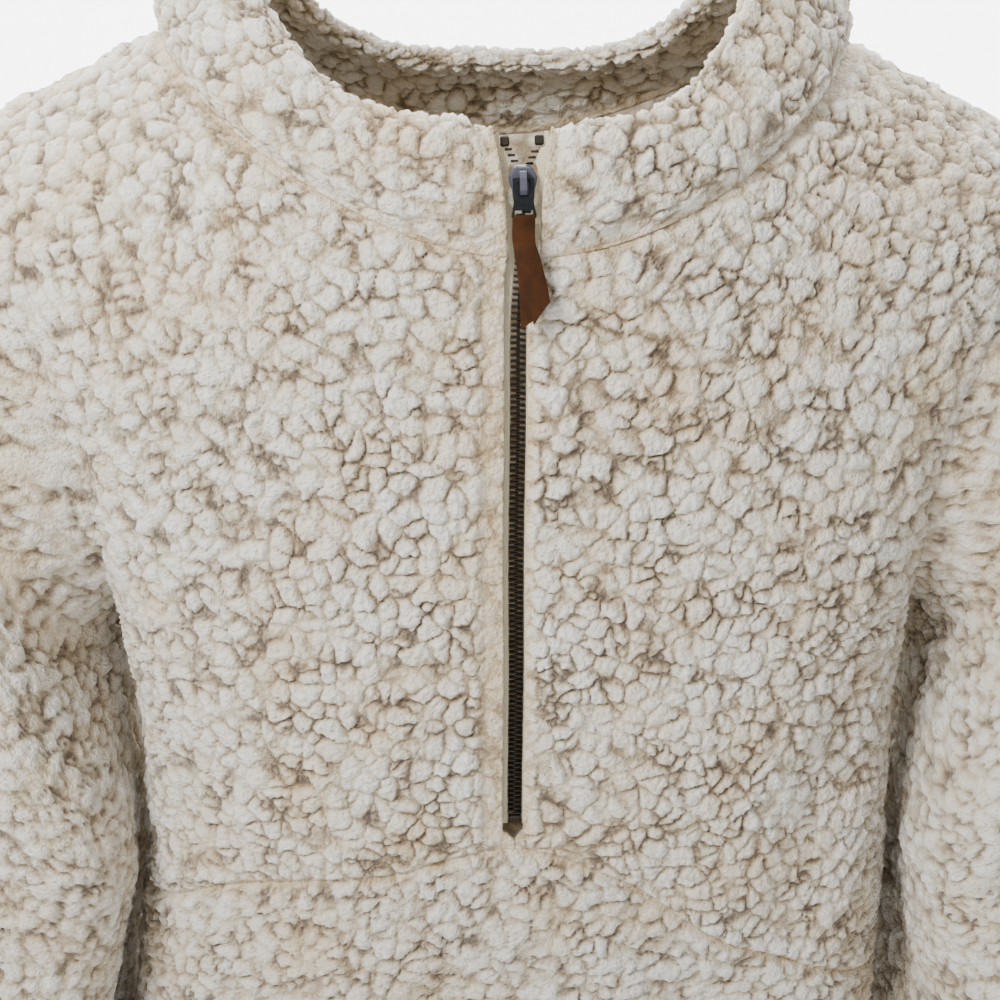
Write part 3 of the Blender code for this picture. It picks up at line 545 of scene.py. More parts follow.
def linked(name, data):
    """A new object of the data, in the scene."""
    thing = bpy.data.objects.new(name, data)
    bpy.context.scene.collection.objects.link(thing)
    return thing


def finished(name, bm, materials, sharp=None):
    """An object of the mesh, smooth but for edges sharper than an angle in degrees."""
    mesh = bpy.data.meshes.new(name)
    bm.to_mesh(mesh)
    bm.free()
    mesh.shade_smooth()
    if sharp:
        mesh.set_sharp_from_angle(angle=math.radians(sharp))
    for look in materials:
        mesh.materials.append(look)
    return linked(name, mesh)


# Body panels


def softened(normals, rounds=4):
    """Normals eased over their neighbours, with the borders kept as they are."""
    for _ in range(rounds):
        inside = normals[1:-1, 1:-1] + normals[:-2, 1:-1] + normals[2:, 1:-1]
        inside = inside + normals[1:-1, :-2] + normals[1:-1, 2:]
        normals[1:-1, 1:-1] = unit(inside)
    return normals


def panel_normals(points, face, halves, arm_rows):
    """Directions out of a panel, set by its neighbours along the neckline, armholes and side seams."""
    normals = grid_normals(points, flip=face == "front")
    for column, side in ((0, halves[0]), (-1, halves[-1])):
        if side * points[0, column, 0] < NEAR_MIDDLE:
            continue
        normals[arm_rows:, column] = (side, 0, 0)
        if arm_rows:
            normals[:arm_rows, column] = armhole_normals(points[:arm_rows, column])
    if arm_rows:
        x = points[0, :, 0]
        on_neck = np.abs(points[0, :, 1]) > 0.5
        slope = np.stack([SHOULDER_SLOPE * np.sign(x), 0 * x, 1 + 0 * x], axis=-1)
        normals[0] = np.where(on_neck[:, None], neckline_normals(points[0]), unit(slope))
    return softened(normals)


def panel_stand(flat, halves, top, seam, zip_gap):
    """How far the pile stands: 1 in the open, and little where it is sewn flat."""
    stand = np.ones_like(top)
    if "top" in flat:
        stand = np.minimum(stand, 0.2 + 0.8 * eased(top / 4.5))
    if "seam" in flat:
        stand = np.minimum(stand, 0.2 + 0.8 * eased((seam - 0.3) / 4.0))
    if "zip" in flat and halves == (-1,):
        stand = np.minimum(stand, 0.3 + 0.7 * eased((zip_gap - LEFT_FLAT) / 5.0))
    elif "zip" in flat:
        stand = np.minimum(stand, 0.15 + 0.85 * eased(zip_gap / 5.0))
    return stand


def body_panel(name, face, halves, stretches, spacing, settings, cut_open=False, flat=()):
    """A front or back piece between its seams. flat names the edges where its pile is sewn flat."""
    step = settings.coarse_step
    neck = NECK_HALF / TIP_X
    inner = counted(NECK_HALF * 0.95, spacing, step)
    outer = counted((TIP_X - NECK_HALF) * 0.75, spacing, step)
    across = np.concatenate([even(inner) * neck, neck + even(outer)[1:] * (1 - neck)])
    rows = []
    for index, stretch in enumerate(stretches):
        shares = even(counted(STRETCH_LENGTHS[stretch], spacing, step))
        rows.append((stretch, shares[1:] if index else shares))
    parts = []
    for side in halves:
        x, z, seam, top = half_panel(face, side, across, rows, cut_open)
        zip_gap = np.abs(x - curve_through(CENTRE_FRONT, z)) - zip_edge(side, z)
        part = np.stack([x, z, seam, top, zip_gap])
        parts.append(part[:, :, ::-1] if side < 0 else part)
    if len(parts) == 2:
        parts[1] = parts[1][:, :, 1:]
    x, z, seam, top, zip_gap = np.concatenate(parts, axis=2)
    points = body_points(face, x, z)
    arm_rows = len(rows[0][1]) if rows[0][0] == "arm" else 0
    normals = panel_normals(points, face, halves, arm_rows)
    stand = panel_stand(flat, halves, top, seam, zip_gap)
    return fleece_shell(f"fleece_{name}", name, points, normals, stand, step, settings)


# Sleeves


def sleeve_rows(side, count):
    """The sleeve's rows at the armhole and at its stations, each round it from the shoulder tip."""
    share = even(count // 2)[:, None]
    z = level_z("front", side, np.array([[1.0]]), "arm", share)[:, 0]
    x = side * side_x(z)
    z[0] = shoulder_z(x[0])
    front, back = body_points("front", x, z), body_points("back", x, z)
    ring = np.concatenate([front, back[::-1][1:]])
    middle_z, half_height = (TIP_Z + UNDERARM_Z) / 2, (TIP_Z - UNDERARM_Z) / 2
    angles = np.degrees(np.arctan2((ring[:, 2] - middle_z) / half_height, -ring[:, 1] / ARMHOLE_DEPTH))
    behind = (np.arange(count + 1) > count / 2) & (angles > 0)
    angles = np.where(behind, angles - 360, angles)
    angles[0], angles[count // 2], angles[-1] = 90.0, -90.0, -270.0
    spread_evenly = 90.0 - 360.0 * even(count)
    rows = [ring]
    for number, (outer_x, outer_z, inner_x, inner_z, depth, lean) in enumerate(SLEEVE_STATIONS):
        top = np.array([side * outer_x, lean, outer_z], float)
        under = np.array([side * inner_x, lean, inner_z], float)
        turn = mix(angles, spread_evenly, eased(number / 4))
        press = np.zeros(count + 1)
        for at, where, spread, width, fold in SLEEVE_FOLDS:
            away = (turn - where + 180) % 360 - 180
            press += fold * np.exp(-(((number - at) / spread) ** 2) - (away / width) ** 2)
        turn = np.radians(turn)
        corner = 1 + (mix(1.0, SLEEVE_FULLNESS, eased(number / 3)) - 1) * np.sin(2 * turn) ** 2
        size = (1 - press / depth) * corner
        row = (top + under) / 2 + (top - under) / 2 * (np.sin(turn) * size)[:, None]
        row[:, 1] -= depth * np.cos(turn) * size
        shift = mix(*SLEEVE_INWARD[side], eased((number - 5) / 4)) * eased(number / 4)
        row[:, 0] -= side * shift * np.maximum(np.cos(turn), 0.0)
        row[:, 0] -= side * SLEEVE_BACK_INWARD * np.maximum(-np.cos(turn), 0.0) * eased(number / 4 - 1)
        row[:, 0] -= side * FOREARM_CLOSER * eased(number / 4 - 1)
        row[-1] = row[0]
        rows.append(row)
    return np.stack(rows)


def between_rows(rows, count):
    """More rows on a smooth curve through the given ones."""
    at = np.linspace(0, len(rows) - 1, count + 1)
    low = np.clip(at.astype(int), 0, len(rows) - 2)
    k = (at - low)[:, None, None]
    p1, p2 = rows[low], rows[low + 1]
    p0, p3 = rows[np.maximum(low - 1, 0)], rows[np.minimum(low + 2, len(rows) - 1)]
    bend = 2 * p0 - 5 * p1 + 4 * p2 - p3
    return p1 + 0.5 * k * ((p2 - p0) + k * (bend + k * (3 * (p1 - p2) + p3 - p0)))


def sleeve(side, spacing, settings):
    """A sleeve from its armhole to its end, closed round the arm."""
    step = settings.coarse_step
    around = counted(SLEEVE_LENGTH, spacing, 2 * step)
    down = counted(SLEEVE_LENGTH, spacing, step)
    points = between_rows(sleeve_rows(side, around), down)
    points[:, -1] = points[:, 0]
    normals = grid_normals(points, closed=True, flip=side < 0)
    normals[0] = armhole_normals(points[0])
    normals[:, -1] = normals[:, 0]
    normals[1:-1] = unit(normals[1:-1] + normals[:-2] + normals[2:])
    stand = np.ones(points.shape[:2])
    word = "left" if side < 0 else "right"
    return fleece_shell(
        f"fleece_sleeve_{word}", f"sleeve_{word}", points, normals, stand, step, settings, closed=True
    )


# Collar


def collar_lines(face, side, angles):
    """Base, control point, crest and seam normal of the collar's wall at angles round the neckline."""
    turn = np.radians(angles)
    x = NECK_HALF * np.sin(turn)
    z = neckline_z(face, x)
    middle = curve_through(CENTRE_FRONT, z) if face == "front" else 0.0 * z
    edge = zip_edge(side, z) if face == "front" else 0.0
    base = body_points(face, mix(middle + side * edge, side * TIP_X, x / TIP_X), z)
    normal = neckline_normals(base)
    normal[angles >= 89.99] = unit(np.array([0.85 * side, 0, 0.53]))
    base = base - normal * (CLOTH - COLLAR_SEAM_HALF - 0.2)
    reach_y = (RIM_FRONT_Y - RIM_BACK_Y) / 2 * (1 if face == "front" else -1)
    rim_z = RIM_LOW_Z + RIM_RISE * np.sin(turn) ** RIM_POWER
    rim_middle = curve_through(CENTRE_FRONT, rim_z) if face == "front" else 0.0 * z
    rim_edge = RIM_EDGE if face == "front" else 0.0
    rim_x = mix(rim_middle + side * rim_edge, side * RIM_HALF_WIDTH, np.sin(turn))
    crest = np.stack([rim_x, (RIM_FRONT_Y + RIM_BACK_Y) / 2 + reach_y * np.cos(turn), rim_z], axis=-1)
    outward = unit(normal * np.array([1, 1, 0]))
    control = base + outward * COLLAR_BULGE
    control[:, 2] += 0.62 * (crest[:, 2] - base[:, 2])
    return base, control, crest, normal


def collar_wall(spacing):
    """Middle surface of the collar, its normals, share up it by row, and place from the zip by column."""
    quarter = even(counted(COLLAR_QUARTER, spacing, 1)) * 90
    runs = [("front", -1, quarter), ("back", -1, quarter[::-1][1:])]
    runs += [("back", 1, quarter[1:]), ("front", 1, quarter[::-1][1:])]
    lines = [collar_lines(*run) for run in runs]
    base, control, crest, seam_normal = (np.concatenate(part) for part in zip(*lines))
    from_zip = [angles * 2.4 if face == "front" else 60 + 0 * angles for face, _, angles in runs]
    share = even(counted(COLLAR_WALL, spacing, 1))[:, None, None]
    wall = base * (1 - share) ** 2 + control * 2 * share * (1 - share) + crest * share**2
    normals = grid_normals(wall, flip=True)
    normals[0] = seam_normal
    return wall, softened(normals, 3), share[..., 0], np.concatenate(from_zip)[None, :]


def doubled_over(wall, normals, half, turns):
    """Both faces of the collar and the round of its rim between them, with the directions out of them."""
    up = unit(wall[-1] - wall[-2])
    rim_out = [normals[-1] * math.cos(turn) + up * math.sin(turn) for turn in turns]
    rim = [wall[-1] + out * half[-1][:, None] for out in rim_out]
    outside, inside = wall + normals * half[..., None], wall - normals * half[..., None]
    points = np.concatenate([outside, np.stack(rim), inside[::-1]])
    outward = np.concatenate([normals, np.stack([unit(out) for out in rim_out]), -normals[::-1]])
    return points, outward


def collar_ends(bm, rows):
    """Closes the collar at both zip edges and along its seam."""
    count = len(rows)
    for column in (0, -1):
        for row in range(count // 2 - 1):
            ladder = [rows[row][column], rows[row + 1][column]]
            ladder += [rows[count - 2 - row][column], rows[count - 1 - row][column]]
            bm.faces.new(ladder)
        if count % 2:
            bm.faces.new([rows[count // 2 + beside][column] for beside in (-1, 0, 1)])
    stitched(bm, rows[0], rows[-1], 1)


def collar(spacing, settings):
    """The stand collar, doubled over at its rim, from one zip edge round the back to the other."""
    wall, normals, share, from_zip = collar_wall(spacing)
    swell = mix(COLLAR_SEAM_HALF, COLLAR_HALF_THICKNESS, eased(share / 0.3))
    half = mix(np.minimum(2.4, swell), swell, eased(from_zip / 18.0))
    turns = np.radians(np.linspace(0, 180, counted(COLLAR_OVER_RIM, spacing, 2) + 1))[1:-1]
    points, outward = doubled_over(wall, normals, half, turns)
    over_rim = np.full((len(turns), 1), COLLAR_WALL)
    seam_gap = np.concatenate([share * COLLAR_WALL, over_rim, share[::-1] * COLLAR_WALL])
    by_seam, by_zip = eased(seam_gap / 6.0), eased((from_zip - 0.5) / 6.0)
    stand = np.minimum(0.2 + 0.8 * by_seam, 0.15 + 0.85 * by_zip)
    deepest = np.concatenate([half, np.repeat(half[-1:], len(turns), 0), half[::-1]]) * 0.62
    full, pile = piled(points, outward, np.ones_like(stand), settings)
    drop = np.minimum(np.linalg.norm(points - full, axis=-1) * stand, deepest)
    bm = bmesh.new()
    rows = pile_grid(bm, points - outward * drop[..., None], pile, stand)
    collar_ends(bm, rows)
    bmesh.ops.recalc_face_normals(bm, faces=bm.faces)
    thing = finished("fleece_collar", bm, [material("sherpa fleece")])
    return declared(thing, "collar", "garment")


# Zip


def strip_stations(node):
    """Middle, right and outward direction at each station of a straight strip's node, from the top down."""
    verts = np.array([v.co for v in frame["nodes"][node].data.vertices]) / MM
    corners = np.unique(np.round(verts, 2), axis=0)
    corners = corners[np.argsort(-corners[:, 2])].reshape(-1, 4, 3)
    middles = corners.mean(axis=1)
    downs = unit(np.gradient(middles, axis=0))
    stations = []
    for group, middle, down in zip(corners, middles, downs):
        order = group[np.argsort(group[:, 0])]
        right = unit(order[2:].mean(axis=0) - order[:2].mean(axis=0))
        stations.append((middle, right, unit(np.cross(right, down))))
    return middles, stations


def at_length(middles, stations, length):
    """Place and directions at a length down a strip."""
    runs = np.concatenate([[0], np.cumsum(np.linalg.norm(np.diff(middles, axis=0), axis=-1))])
    low = int(np.clip(np.searchsorted(runs, length) - 1, 0, len(runs) - 2))
    k = (length - runs[low]) / (runs[low + 1] - runs[low])
    place, right, out = (mix(a, b, k) for a, b in zip(stations[low], stations[low + 1]))
    right, out = Vector(unit(right)), Vector(unit(out))
    if out.y > 0:
        out = -out
    return Vector(place), right, out, right.cross(out)


def tooth(bm, place, right, out, along, size):
    """One metal tooth: a rounded block that is wider at its foot on the tape."""
    wide, tall, thick = size
    made = bmesh.ops.create_cube(bm, size=1.0)["verts"]
    edges = list({edge for vert in made for edge in vert.link_edges})
    bevel = {"offset": TOOTH_BEVEL, "offset_type": "OFFSET", "segments": 1, "profile": 0.5, "material": -1}
    bevelled = bmesh.ops.bevel(bm, geom=edges, affect="EDGES", **bevel)
    turn = Matrix((right, along, out)).transposed()
    for vert in {vert for face in bevelled["faces"] for vert in face.verts}:
        x, y, z = vert.co
        spot = Vector((x * wide, y * tall * (1.0 + TOOTH_TAPER * x), z * thick))
        vert.co = (place + turn @ spot) * MM


def teeth_row(name, node, sides, settings):
    """The teeth that stand for one of the zip's bars: on one side of it or, where it is closed, on both."""
    middles, stations = strip_stations(node)
    closed = len(sides) == 2
    length = line_length(middles)
    if not closed:
        length += OPEN_TEETH_LONGER
    pitch = settings.tooth_pitch / MM
    size = (CLOSED_TOOTH_WIDTH if closed else OPEN_TOOTH_WIDTH, pitch * TOOTH_TALLNESS, TOOTH_THICKNESS)
    reach = TOOTH_REACH if closed else 0.0
    bm = bmesh.new()
    for index in range(int(length / pitch)):
        for side in sides:
            at = (index + (0.25 if side < 0 else 0.75)) * pitch
            place, right, out, along = at_length(middles, stations, at)
            tooth(bm, place + right * side * reach, right * side, out, along, size)
    bmesh.ops.recalc_face_normals(bm, faces=bm.faces)
    thing = finished(name, bm, [material("dark bronze")], 35)
    return declared(thing, node, "garment")


# Pull


def pull_frame():
    """The pull's hinge in millimetres, and its right, outward and down directions at rest."""
    hinge = Vector(frame["record"]["behaviour"]["joints"][0]["pos_m"]) / MM
    tilt = math.radians(PULL_TILT)
    down = Vector((0, -math.sin(tilt), -math.cos(tilt)))
    right = Vector((1, 0, 0))
    return hinge, right, down.cross(right), down


def leather_layer(bm, edges, foot, depth, thick, crease):
    """One layer of the tab, cut off at a slant between its feet at the left and the right."""
    hinge, across, out, down = (np.array(v) for v in pull_frame())
    left, right = (tuple((row[0], row[column]) for row in edges) for column in (1, 2))
    u, v = even(10)[None, :], even(40)[:, None]
    at = mix(edges[0][0], mix(*foot, u), v)
    x = mix(curve_through(left, at), curve_through(right, at), u)
    over_metal = 0.75 * (1 - eased((at - 1.1) / 3.5)) * (1 if depth > 0 else -1)
    lift = depth + over_metal + crease * np.exp(-(((at - CREASE_DROP) / 1.4) ** 2))
    lift = lift - 0.3 * (2 * u - 1) ** 2
    front = hinge + across * x[..., None] + down * (EYE_DROP + at)[..., None] + out * lift[..., None]
    front_rows = placed_grid(bm, front * MM)
    back_rows = placed_grid(bm, (front - out * thick) * MM)
    for front_line, back_line in zip(border_lines(front_rows), border_lines(back_rows)):
        stitched(bm, front_line, back_line, 1)


def leather_tab():
    """The folded leather strip through the pull's eye."""
    bm = bmesh.new()
    leather_layer(bm, LEATHER_BACK, BACK_FOOT, -0.15, 1.25, 0.0)
    leather_layer(bm, LEATHER_FRONT, FRONT_FOOT, 1.45, 1.3, -0.5)
    hinge, across, out, down = pull_frame()
    centre = hinge + down * (EYE_DROP + FOLD_DROP) - out * 0.02
    fold = bmesh.ops.create_cone(
        bm, cap_ends=True, segments=20, radius1=FOLD_RADIUS, radius2=FOLD_RADIUS, depth=FOLD_WIDTH
    )["verts"]
    turn = Matrix((across, down, out)).transposed() @ Matrix.Rotation(math.radians(90), 3, "Y")
    for vert in fold:
        vert.co = (centre + turn @ vert.co) * MM
    bmesh.ops.recalc_face_normals(bm, faces=bm.faces)
    thing = finished("leather_tab", bm, [material("cognac leather")], 40)
    return declared(thing, "pull_leather", "pull")


# Materials


def plugged(tree, socket, value):
    """Links a socket to another node's output, or sets its value."""
    if isinstance(value, bpy.types.NodeSocket):
        tree.links.new(value, socket)
    else:
        socket.default_value = value


def add_node(tree, kind, sockets=None, **settings):
    """A shader node with its settings, its socket values and its links."""
    node = tree.nodes.new(kind)
    for key, value in settings.items():
        setattr(node, key, value)
    for key, value in (sockets or {}).items():
        plugged(tree, node.inputs[key], value)
    return node


def fresh_material(name):
    """A new material, its node tree and its Principled shader."""
    look = bpy.data.materials.new(name)
    look.use_nodes = True
    tree = look.node_tree
    return look, tree, tree.nodes["Principled BSDF"]


def set_shader(tree, shader, **values):
    """Values or links of the Principled shader, by socket name with _ for a space."""
    for key, value in values.items():
        plugged(tree, shader.inputs[key.replace("_", " ")], value)


def blended(tree, kind, share, first, second):
    """Two colours mixed by a share."""
    node = add_node(tree, "ShaderNodeMix", data_type="RGBA", blend_type=kind)
    for index, value in ((0, share), (6, first), (7, second)):
        plugged(tree, node.inputs[index], value)
    return node.outputs[2]


def ramp(tree, factor, stops):
    """A colour ramp through (place, hex colour) stops."""
    node = add_node(tree, "ShaderNodeValToRGB", {"Fac": factor})
    elements = node.color_ramp.elements
    for index, (place, code) in enumerate(stops):
        element = elements[index] if index < 2 else elements.new(place)
        element.position = place
        element.color = srgb(code)
    return node.outputs["Color"]


def calculated(tree, operation, a, b, clamp=False):
    """The result of a sum on two values."""
    node = add_node(tree, "ShaderNodeMath", operation=operation, use_clamp=clamp)
    for index, value in ((0, a), (1, b)):
        plugged(tree, node.inputs[index], value)
    return node.outputs[0]


def object_place(tree):
    """The place in the object, in metres."""
    return add_node(tree, "ShaderNodeTexCoord").outputs["Object"]


def grain(tree, place, scale, detail):
    """Noise of a scale, from 0 to 1."""
    sockets = {"Vector": place, "Scale": scale, "Detail": detail}
    return add_node(tree, "ShaderNodeTexNoise", sockets).outputs[0]


def tufts(tree, place, scale, smoothness):
    """Distance from the middles of soft round cells."""
    sockets = {"Vector": place, "Scale": scale, "Smoothness": smoothness}
    return add_node(tree, "ShaderNodeTexVoronoi", sockets, feature="SMOOTH_F1").outputs["Distance"]


def bumped(tree, strength, distance, height):
    """Shading of a surface that rises and falls with a height."""
    sockets = {"Strength": strength, "Distance": distance, "Height": height}
    return add_node(tree, "ShaderNodeBump", sockets).outputs["Normal"]


def sherpa_material():
    """Curly cream polyester pile, darker in its crevices and towards the edges of its lumps, partly from tan
    fibre and partly from painted shade, and tan where it is sewn flat.
    """
    look, tree, shader = fresh_material("sherpa fleece")
    place = object_place(tree)
    pile = add_node(tree, "ShaderNodeAttribute", attribute_name="pile").outputs["Fac"]
    flat = add_node(tree, "ShaderNodeAttribute", attribute_name="pressed").outputs["Fac"]
    fibre = grain(tree, place, 900.0, 4.0)
    curls = tufts(tree, place, 420.0, 0.6)
    patches = grain(tree, place, 26.0, 3.0)
    # Colour by pile height: the dark low stops are painted shade in the crevices and at the lumps' edges,
    # over the tan of the fibre there
    depth = calculated(tree, "ADD", pile, calculated(tree, "MULTIPLY", fibre, 0.3))
    depth = calculated(tree, "SUBTRACT", depth, 0.15)
    colour = ramp(
        tree,
        depth,
        ((0.05, "#5C4C3A"), (1.0, "#F0EDE7"), (0.2, "#978469"), (0.34, "#C4B69D"), (0.55, "#E2DBCE")),
    )
    warm = ramp(tree, patches, ((0.42, "#FFFFFF"), (0.72, "#EEDCBC")))
    colour = blended(tree, "MULTIPLY", 0.8, colour, warm)
    tan = ramp(tree, fibre, ((0.3, "#AD8C5A"), (0.7, "#DFC79E")))
    colour = blended(tree, "MIX", calculated(tree, "MULTIPLY", flat, 0.7), colour, tan)
    height = calculated(tree, "SUBTRACT", fibre, calculated(tree, "MULTIPLY", curls, 0.8))
    normal = bumped(tree, 0.9, 0.0018, height)
    set_shader(
        tree, shader, Base_Color=colour, Roughness=0.95, Sheen_Weight=0.3, Sheen_Roughness=0.6, Normal=normal
    )
    return look


def backing_material():
    """Brushed polyester on the inside of the garment, in low tufts, with painted shade in the hollows
    between them.
    """
    look, tree, shader = fresh_material("knit backing")
    place = object_place(tree)
    fibre = calculated(tree, "MULTIPLY", grain(tree, place, 700.0, 5.0), 0.35)
    shade = calculated(tree, "ADD", tufts(tree, place, 150.0, 0.4), fibre)
    # The darker stops fall in the hollows between tufts: painted shade
    colour = ramp(tree, shade, ((0.35, "#EDE8DE"), (0.6, "#D8CDB8"), (0.85, "#A8957A")))
    hollow = calculated(tree, "MULTIPLY", shade, -1.0)
    set_shader(tree, shader, Base_Color=colour, Roughness=0.95, Normal=bumped(tree, 0.8, 0.003, hollow))
    return look


def tape_material():
    """Woven cotton zip tape."""
    look, tree, shader = fresh_material("woven tape")
    place = object_place(tree)
    threads = []
    for direction, scale, distortion in (("Z", 380.0, 1.5), ("X", 520.0, 1.0)):
        sockets = {"Vector": place, "Scale": scale, "Distortion": distortion}
        wave = add_node(tree, "ShaderNodeTexWave", sockets, bands_direction=direction)
        threads.append(wave.outputs["Fac"])
    weave = calculated(tree, "MAXIMUM", *threads)
    colour = ramp(tree, weave, ((0.2, "#B3A684"), (0.9, "#D6CDB2")))
    set_shader(tree, shader, Base_Color=colour, Roughness=0.9, Normal=bumped(tree, 0.6, 0.0003, weave))
    return look


def metal_material(name, dark, light, rough, scale):
    """Cast and tumbled metal: darker in its hollows, worn lighter along its edges."""
    look, tree, shader = fresh_material(name)
    place = object_place(tree)
    grime = grain(tree, place, scale, 5.0)
    worn = add_node(tree, "ShaderNodeNewGeometry").outputs["Pointiness"]
    share = calculated(tree, "ADD", worn, calculated(tree, "MULTIPLY", grime, 0.3))
    colour = ramp(tree, share, ((0.62, dark), (0.9, light)))
    roughness = calculated(tree, "ADD", calculated(tree, "MULTIPLY", grime, 0.25), rough)
    normal = bumped(tree, 0.25, 0.0002, grime)
    set_shader(tree, shader, Base_Color=colour, Metallic=0.85, Roughness=roughness, Normal=normal)
    return look


def leather_material():
    """Oiled cognac leather with fine pores."""
    look, tree, shader = fresh_material("cognac leather")
    place = object_place(tree)
    pores = add_node(tree, "ShaderNodeTexVoronoi", {"Vector": place, "Scale": 1500.0}).outputs["Distance"]
    tone = grain(tree, place, 160.0, 6.0)
    colour = ramp(tree, tone, ((0.3, "#2C1503"), (0.7, "#402106")))
    normal = bumped(tree, 0.35, 0.0003, pores)
    set_shader(tree, shader, Base_Color=colour, Roughness=0.7, Specular_IOR_Level=0.15, Normal=normal)
    return look


def floor_material():
    """Pale grey studio sweep that glows white where it rises at the back."""
    look, tree, shader = fresh_material("studio floor")
    place = object_place(tree)
    mottle = grain(tree, place, 3.0, 2.0)
    depth = add_node(tree, "ShaderNodeSeparateXYZ", {"Vector": place}).outputs["Y"]
    glow = calculated(tree, "MULTIPLY", calculated(tree, "SUBTRACT", depth, 0.9, True), 8.0)
    set_shader(
        tree,
        shader,
        Base_Color=ramp(tree, mottle, ((0.3, "#C4C4C4"), (0.7, "#CCCCCC"))),
        Roughness=1.0,
        Emission_Color=srgb("#FFFFFF"),
        Emission_Strength=glow,
    )
    return look


# Metals of the teeth and stops, the slider and the pull: dark and light colour, roughness, scale of grime
METALS = {
    "dark bronze": ("#110E0B", "#3E372D", 0.42, 900.0),
    "gunmetal": ("#08080A", "#1C1C20", 0.46, 700.0),
    "satin metal": ("#151718", "#2C3032", 0.48, 700.0),
}
MATERIALS = {
    "sherpa fleece": sherpa_material,
    "knit backing": backing_material,
    "woven tape": tape_material,
    "cognac leather": leather_material,
    "studio floor": floor_material,
}


def material(name):
    """The material of that name, made on its first use."""
    made = bpy.data.materials.get(name)
    if made:
        return made
    return metal_material(name, *METALS[name]) if name in METALS else MATERIALS[name]()


def dress_nodes(names, look):
    """Gives CAD nodes that stay on show their material."""
    for name in names:
        mesh = frame["nodes"][name].data
        mesh.materials.clear()
        mesh.materials.append(material(look))


# Settings that a user would change


def length_setting(name, description, metres):
    """A setting that is a length."""
    return FloatProperty(name=name, description=description, default=metres, unit="LENGTH")


class FleeceSettings(bpy.types.PropertyGroup):
    lump_size: length_setting("Lump size", "Distance between lumps of the pile", 0.0092)
    curl_size: length_setting("Curl size", "Distance between the small curls on a lump", 0.0043)
    lump_height: length_setting("Lump height", "Depth of the crevices between lumps", 0.0046)
    crevice: FloatProperty(
        name="Crevice", description="Width of a crevice as a share of a lump", default=0.42, subtype="FACTOR"
    )
    front_spacing: length_setting("Front spacing", "Distance between points of the fronts", 0.00098)
    collar_spacing: length_setting("Collar spacing", "Distance between points of the collar", 0.0013)
    side_spacing: length_setting("Side spacing", "Distance between points of the sleeves and back", 0.0021)
    coarse_step: IntProperty(
        name="Coarse step", description="Outer grid steps to one step of the backing", default=6
    )


class ZipSettings(bpy.types.PropertyGroup):
    tooth_pitch: length_setting("Tooth pitch", "Distance between teeth on one side", 0.0024)


class StageSettings(bpy.types.PropertyGroup):
    sky: FloatVectorProperty(
        name="Sky", description="Colour of the even light", default=srgb("#FBFCFF")[:3], subtype="COLOR"
    )
    sky_strength: FloatProperty(name="Sky strength", description="Strength of the even light", default=0.28)
    key_power: FloatProperty(
        name="Key power", description="Power of the light at the left", default=21.0, unit="POWER"
    )
    fill_power: FloatProperty(
        name="Fill power", description="Power of the light in front", default=3.0, unit="POWER"
    )


# Operators


class PULLOVER_OT_fronts(bpy.types.Operator):
    """Make the upper fronts and the lower front"""

    bl_idname = "pullover.fronts"
    bl_label = "Fronts"

    def execute(self, context):
        settings = context.scene.pullover_fleece
        spacing = settings.front_spacing / MM
        edges = ("top", "zip", "seam")
        for name, side in (("front_left", -1), ("front_right", 1)):
            body_panel(name, "front", (side,), ("arm", "middle"), spacing, settings, True, edges)
        spacing *= LOWER_COARSER
        body_panel("front_lower", "front", (-1, 1), ("lower",), spacing, settings, False, ("seam",))
        return {"FINISHED"}


class PULLOVER_OT_back(bpy.types.Operator):
    """Make the back"""

    bl_idname = "pullover.back"
    bl_label = "Back"

    def execute(self, context):
        settings = context.scene.pullover_fleece
        spacing = settings.side_spacing / MM * BACK_COARSER
        body_panel("back", "back", (-1, 1), ("arm", "middle", "lower"), spacing, settings, False, ("top",))
        return {"FINISHED"}


class PULLOVER_OT_sleeves(bpy.types.Operator):
    """Make both sleeves"""

    bl_idname = "pullover.sleeves"
    bl_label = "Sleeves"

    def execute(self, context):
        settings = context.scene.pullover_fleece
        for side in (-1, 1):
            sleeve(side, settings.side_spacing / MM, settings)
        return {"FINISHED"}


class PULLOVER_OT_collar(bpy.types.Operator):
    """Make the stand collar"""

    bl_idname = "pullover.collar"
    bl_label = "Collar"

    def execute(self, context):
        settings = context.scene.pullover_fleece
        collar(settings.collar_spacing / MM, settings)
        return {"FINISHED"}


class PULLOVER_OT_zip(bpy.types.Operator):
    """Make the zip's teeth, and finish its tapes, stops and slider"""

    bl_idname = "pullover.zip"
    bl_label = "Zip"

    def execute(self, context):
        settings = context.scene.pullover_zip
        teeth_row("teeth_closed", "zip_chain", (-1, 1), settings)
        teeth_row("teeth_open_left", "zip_teeth_left", (-1,), settings)
        teeth_row("teeth_open_right", "zip_teeth_right", (1,), settings)
        dress_nodes(("zip_tape_left", "zip_tape_right"), "woven tape")
        dress_nodes(("zip_stop_left", "zip_stop_right", "zip_stop_bottom"), "dark bronze")
        dress_nodes(("slider",), "gunmetal")
        return {"FINISHED"}


class PULLOVER_OT_pull(bpy.types.Operator):
    """Make the leather tab and finish the metal pull"""

    bl_idname = "pullover.pull"
    bl_label = "Pull"

    def execute(self, context):
        dress_nodes(("pull_metal",), "satin metal")
        leather_tab()
        return {"FINISHED"}


